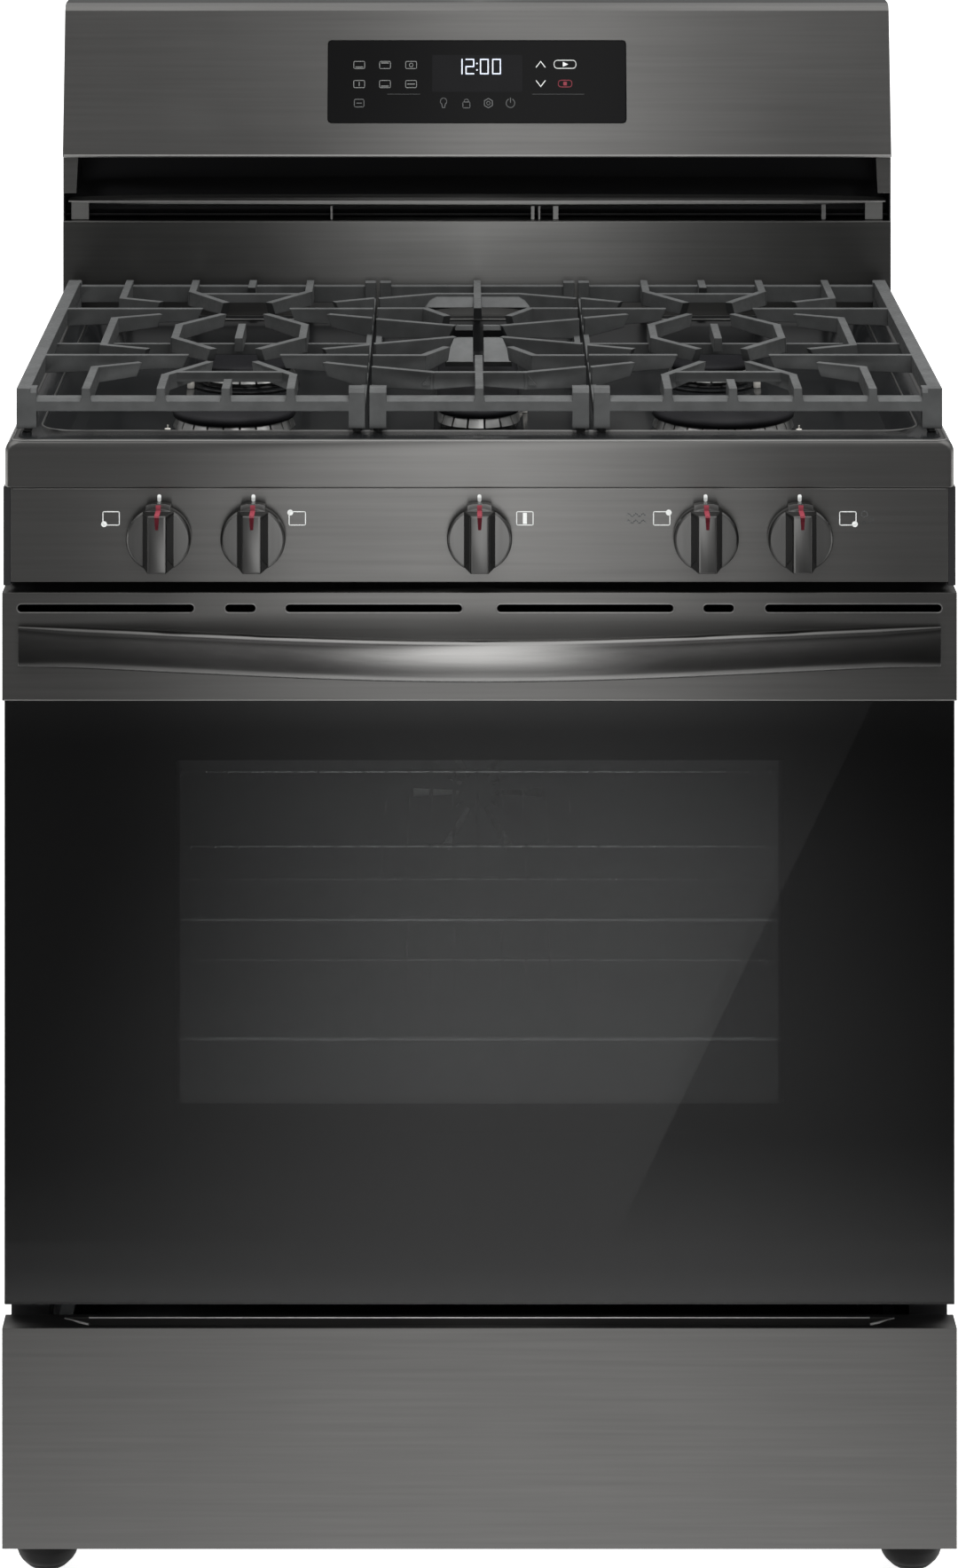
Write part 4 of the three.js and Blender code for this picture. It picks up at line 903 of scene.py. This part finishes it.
def area_light(name, location, target, size, power):
    """A soft light that only fills: it shows in no reflection."""
    light = bpy.data.lights.new(name, "AREA")
    light.shape = "RECTANGLE"
    light.size, light.size_y = size
    light.energy = power
    lamp = bpy.data.objects.new(name, light)
    lamp.location = location
    lamp.rotation_euler = (Vector(target) - Vector(location)).to_track_quat("-Z", "Y").to_euler()
    lamp.visible_camera = False
    lamp.visible_glossy = False
    scene.collection.objects.link(lamp)


def gray_ramp(nodes, stops):
    """A ramp through (position, brightness) stops."""
    ramp = nodes.new("ShaderNodeValToRGB")
    elements = ramp.color_ramp.elements
    while len(elements) < len(stops):
        elements.new(0.5)
    for element, (position, value) in zip(elements, stops):
        element.position = position
        element.color = (value, value, value, 1)
    return ramp


def glow_card(name, corners, axis, middle, sides, slanted):
    """A card seen only in reflections: a bright upright band in a dimmer field.

    middle and sides are brightness stops along the given axis, over two metres. A slanted card is
    dimmer to the right of a leaning edge, like the side of a light tent.
    """
    data = bpy.data.materials.new(name)
    data.use_nodes = True
    nodes, links = data.node_tree.nodes, data.node_tree.links
    nodes.clear()
    coordinates = nodes.new("ShaderNodeTexCoord")
    split = nodes.new("ShaderNodeSeparateXYZ")
    links.new(coordinates.outputs["Object"], split.inputs["Vector"])
    sideways, height = split.outputs["X"], split.outputs["Z"]

    def math_node(operation, a, b=0):
        node = nodes.new("ShaderNodeMath")
        node.operation = operation
        for socket, value in zip(node.inputs, (a, b)):
            if isinstance(value, (int, float)):
                socket.default_value = value
            else:
                links.new(value, socket)
        return node.outputs["Value"]

    along = math_node("MULTIPLY", split.outputs[axis], 0.5 if axis == "Z" else -0.5)
    ramps = []
    for stops in (middle, sides):
        ramp = gray_ramp(nodes, stops)
        links.new(along, ramp.inputs["Fac"])
        ramps.append(ramp.outputs["Color"])
    fall = nodes.new("ShaderNodeMapRange")
    fall.interpolation_type = "SMOOTHSTEP"
    fall.inputs["From Min"].default_value = 0.04
    fall.inputs["From Max"].default_value = 0.42
    # The band's middle moves to the right high up and near the floor, and the band narrows with height.
    rising = math_node("MULTIPLY", math_node("MAXIMUM", math_node("SUBTRACT", height, 0.74), 0), 0.14)
    sinking = math_node("MAXIMUM", math_node("MULTIPLY", math_node("SUBTRACT", 0.66, height), 0.3), 0)
    drift = math_node("ADD", rising, math_node("MINIMUM", sinking, 0.085))
    offset = math_node("ABSOLUTE", math_node("SUBTRACT", math_node("ADD", sideways, 0.02), drift))
    taper = math_node("ADD", math_node("MULTIPLY", height, 0.6), 0.7)
    links.new(math_node("MULTIPLY", offset, taper), fall.inputs["Value"])
    mix = nodes.new("ShaderNodeMix")
    mix.data_type = "RGBA"
    links.new(fall.outputs["Result"], mix.inputs["Factor"])
    links.new(ramps[0], mix.inputs[6])
    links.new(ramps[1], mix.inputs[7])
    glow = nodes.new("ShaderNodeEmission")
    links.new(mix.outputs[2], glow.inputs["Color"])
    if slanted:
        edge = math_node("ADD", math_node("MULTIPLY", height, 0.48), 0.13)
        beyond = math_node("GREATER_THAN", sideways, edge)
        below = math_node("LESS_THAN", height, 0.62)
        fading = math_node("MINIMUM", math_node("MULTIPLY", height, 10), 1)
        dim = math_node("MULTIPLY", math_node("MULTIPLY", beyond, below), fading)
        links.new(math_node("ADD", math_node("MULTIPLY", dim, -0.36), 1.0), glow.inputs["Strength"])
    output = nodes.new("ShaderNodeOutputMaterial")
    links.new(glow.outputs["Emission"], output.inputs["Surface"])
    card = sheet(name, corners, data)
    card.visible_camera = False
    card.visible_diffuse = False
    card.visible_shadow = False


def make_world():
    """White for the camera; for everything else dark below, dim at the horizon and bright overhead."""
    world = bpy.data.worlds.new("studio")
    world.use_nodes = True
    nodes, links = world.node_tree.nodes, world.node_tree.links
    background = nodes["Background"]
    ray = nodes.new("ShaderNodeTexCoord")
    split = nodes.new("ShaderNodeSeparateXYZ")
    ramp = gray_ramp(nodes, [(0.49, 0.05), (0.5, 0.20), (0.65, 0.18), (0.88, 1.2)])
    path = nodes.new("ShaderNodeLightPath")
    mix = nodes.new("ShaderNodeMix")
    mix.data_type = "RGBA"
    mix.inputs[7].default_value = (1, 1, 1, 1)
    links.new(ray.outputs["Generated"], split.inputs["Vector"])
    height = nodes.new("ShaderNodeMath")
    height.operation = "MULTIPLY_ADD"
    height.inputs[1].default_value = 0.5
    height.inputs[2].default_value = 0.5
    links.new(split.outputs["Z"], height.inputs[0])
    links.new(height.outputs["Value"], ramp.inputs["Fac"])
    links.new(path.outputs["Is Camera Ray"], mix.inputs["Factor"])
    links.new(ramp.outputs["Color"], mix.inputs[6])
    links.new(mix.outputs[2], background.inputs["Color"])
    scene.world = world


# Brightness of the cards as (position, brightness) stops, in the bright band and on both sides of it.
FRONT_BAND = [(0, 0.60), (0.05, 0.54), (0.1, 0.60), (0.17, 0.52), (0.245, 0.31), (0.275, 0.75),
              (0.31, 1.75), (0.46, 1.7), (0.8, 1.4)]
FRONT_SIDES = [(0, 0.2), (0.04, 0.12), (0.24, 0.08), (0.37, 0.32), (0.5, 0.06), (0.66, 0.36),
               (0.75, 0.07), (0.9, 0.03), (0.96, 1.1)]
FLOOR_BAND = [(0.15, 0.95), (0.42, 0.97), (0.49, 0.64), (0.54, 0.60)]
FLOOR_SIDES = [(0.15, 0.68), (0.42, 0.60), (0.49, 0.28), (0.54, 0.22)]


def make_studio():
    """A pale floor and background, cards for the reflections and three soft lights."""
    make_world()
    scene.view_settings.view_transform = "Standard"
    pale = Material("pale_floor", (0.86, 0.86, 0.855), 0.7, Emission_Strength=0.85)
    pale.shader.inputs["Emission Color"].default_value = (1, 1, 1, 1)
    pale.vary_roughness(pale.noise(3), 0.05)
    floor = sheet("floor", [(-30, -30, 0), (30, -30, 0), (30, 30, 0), (-30, 30, 0)], pale.data)
    floor.visible_diffuse = False
    near, far, low, high, half = FACE - 0.02, FACE - 0.75, 0.002, 3, 3
    upright = [(-half, far, low), (half, far, low), (half, far, high), (-half, far, high)]
    glow_card("front_card", upright, "Z", FRONT_BAND, FRONT_SIDES, True)
    lying = [(-half, near, low), (half, near, low), (half, far, low), (-half, far, low)]
    glow_card("floor_card", lying, "Y", FLOOR_BAND, FLOOR_SIDES, False)
    area_light("overhead", (0.1, 0.15, 3.2), (0, 0.05, 0.9), (2.4, 1.0), 90)
    area_light("oven_lamp", place(0, 240, 700), place(0, 330, 400), (0.4, 0.2), 2.8)
    area_light("front_fill", (-0.2, -3.4, 0.35), (0, 0, 0.9), (2.6, 0.4), 84)


make_camera()
made_materials = make_materials()
paint_nodes(made_materials)
make_cooktop(made_materials)
for burner in BURNERS:
    make_burner(burner, made_materials)
    make_knob(burner, made_materials)
make_finger_tips(made_materials)
make_display(made_materials)
make_panel_marks(made_materials)
make_handle(made_materials)
make_frit(made_materials)
make_edges(made_materials)
make_cheeks(made_materials)
make_back_details(made_materials)
make_side_fields(made_materials)
for level in ("upper", "lower"):
    make_rack(level, made_materials)
for foot_corner in ("front_left", "front_right", "rear_left", "rear_right"):
    make_foot(foot_corner, made_materials)
make_studio()
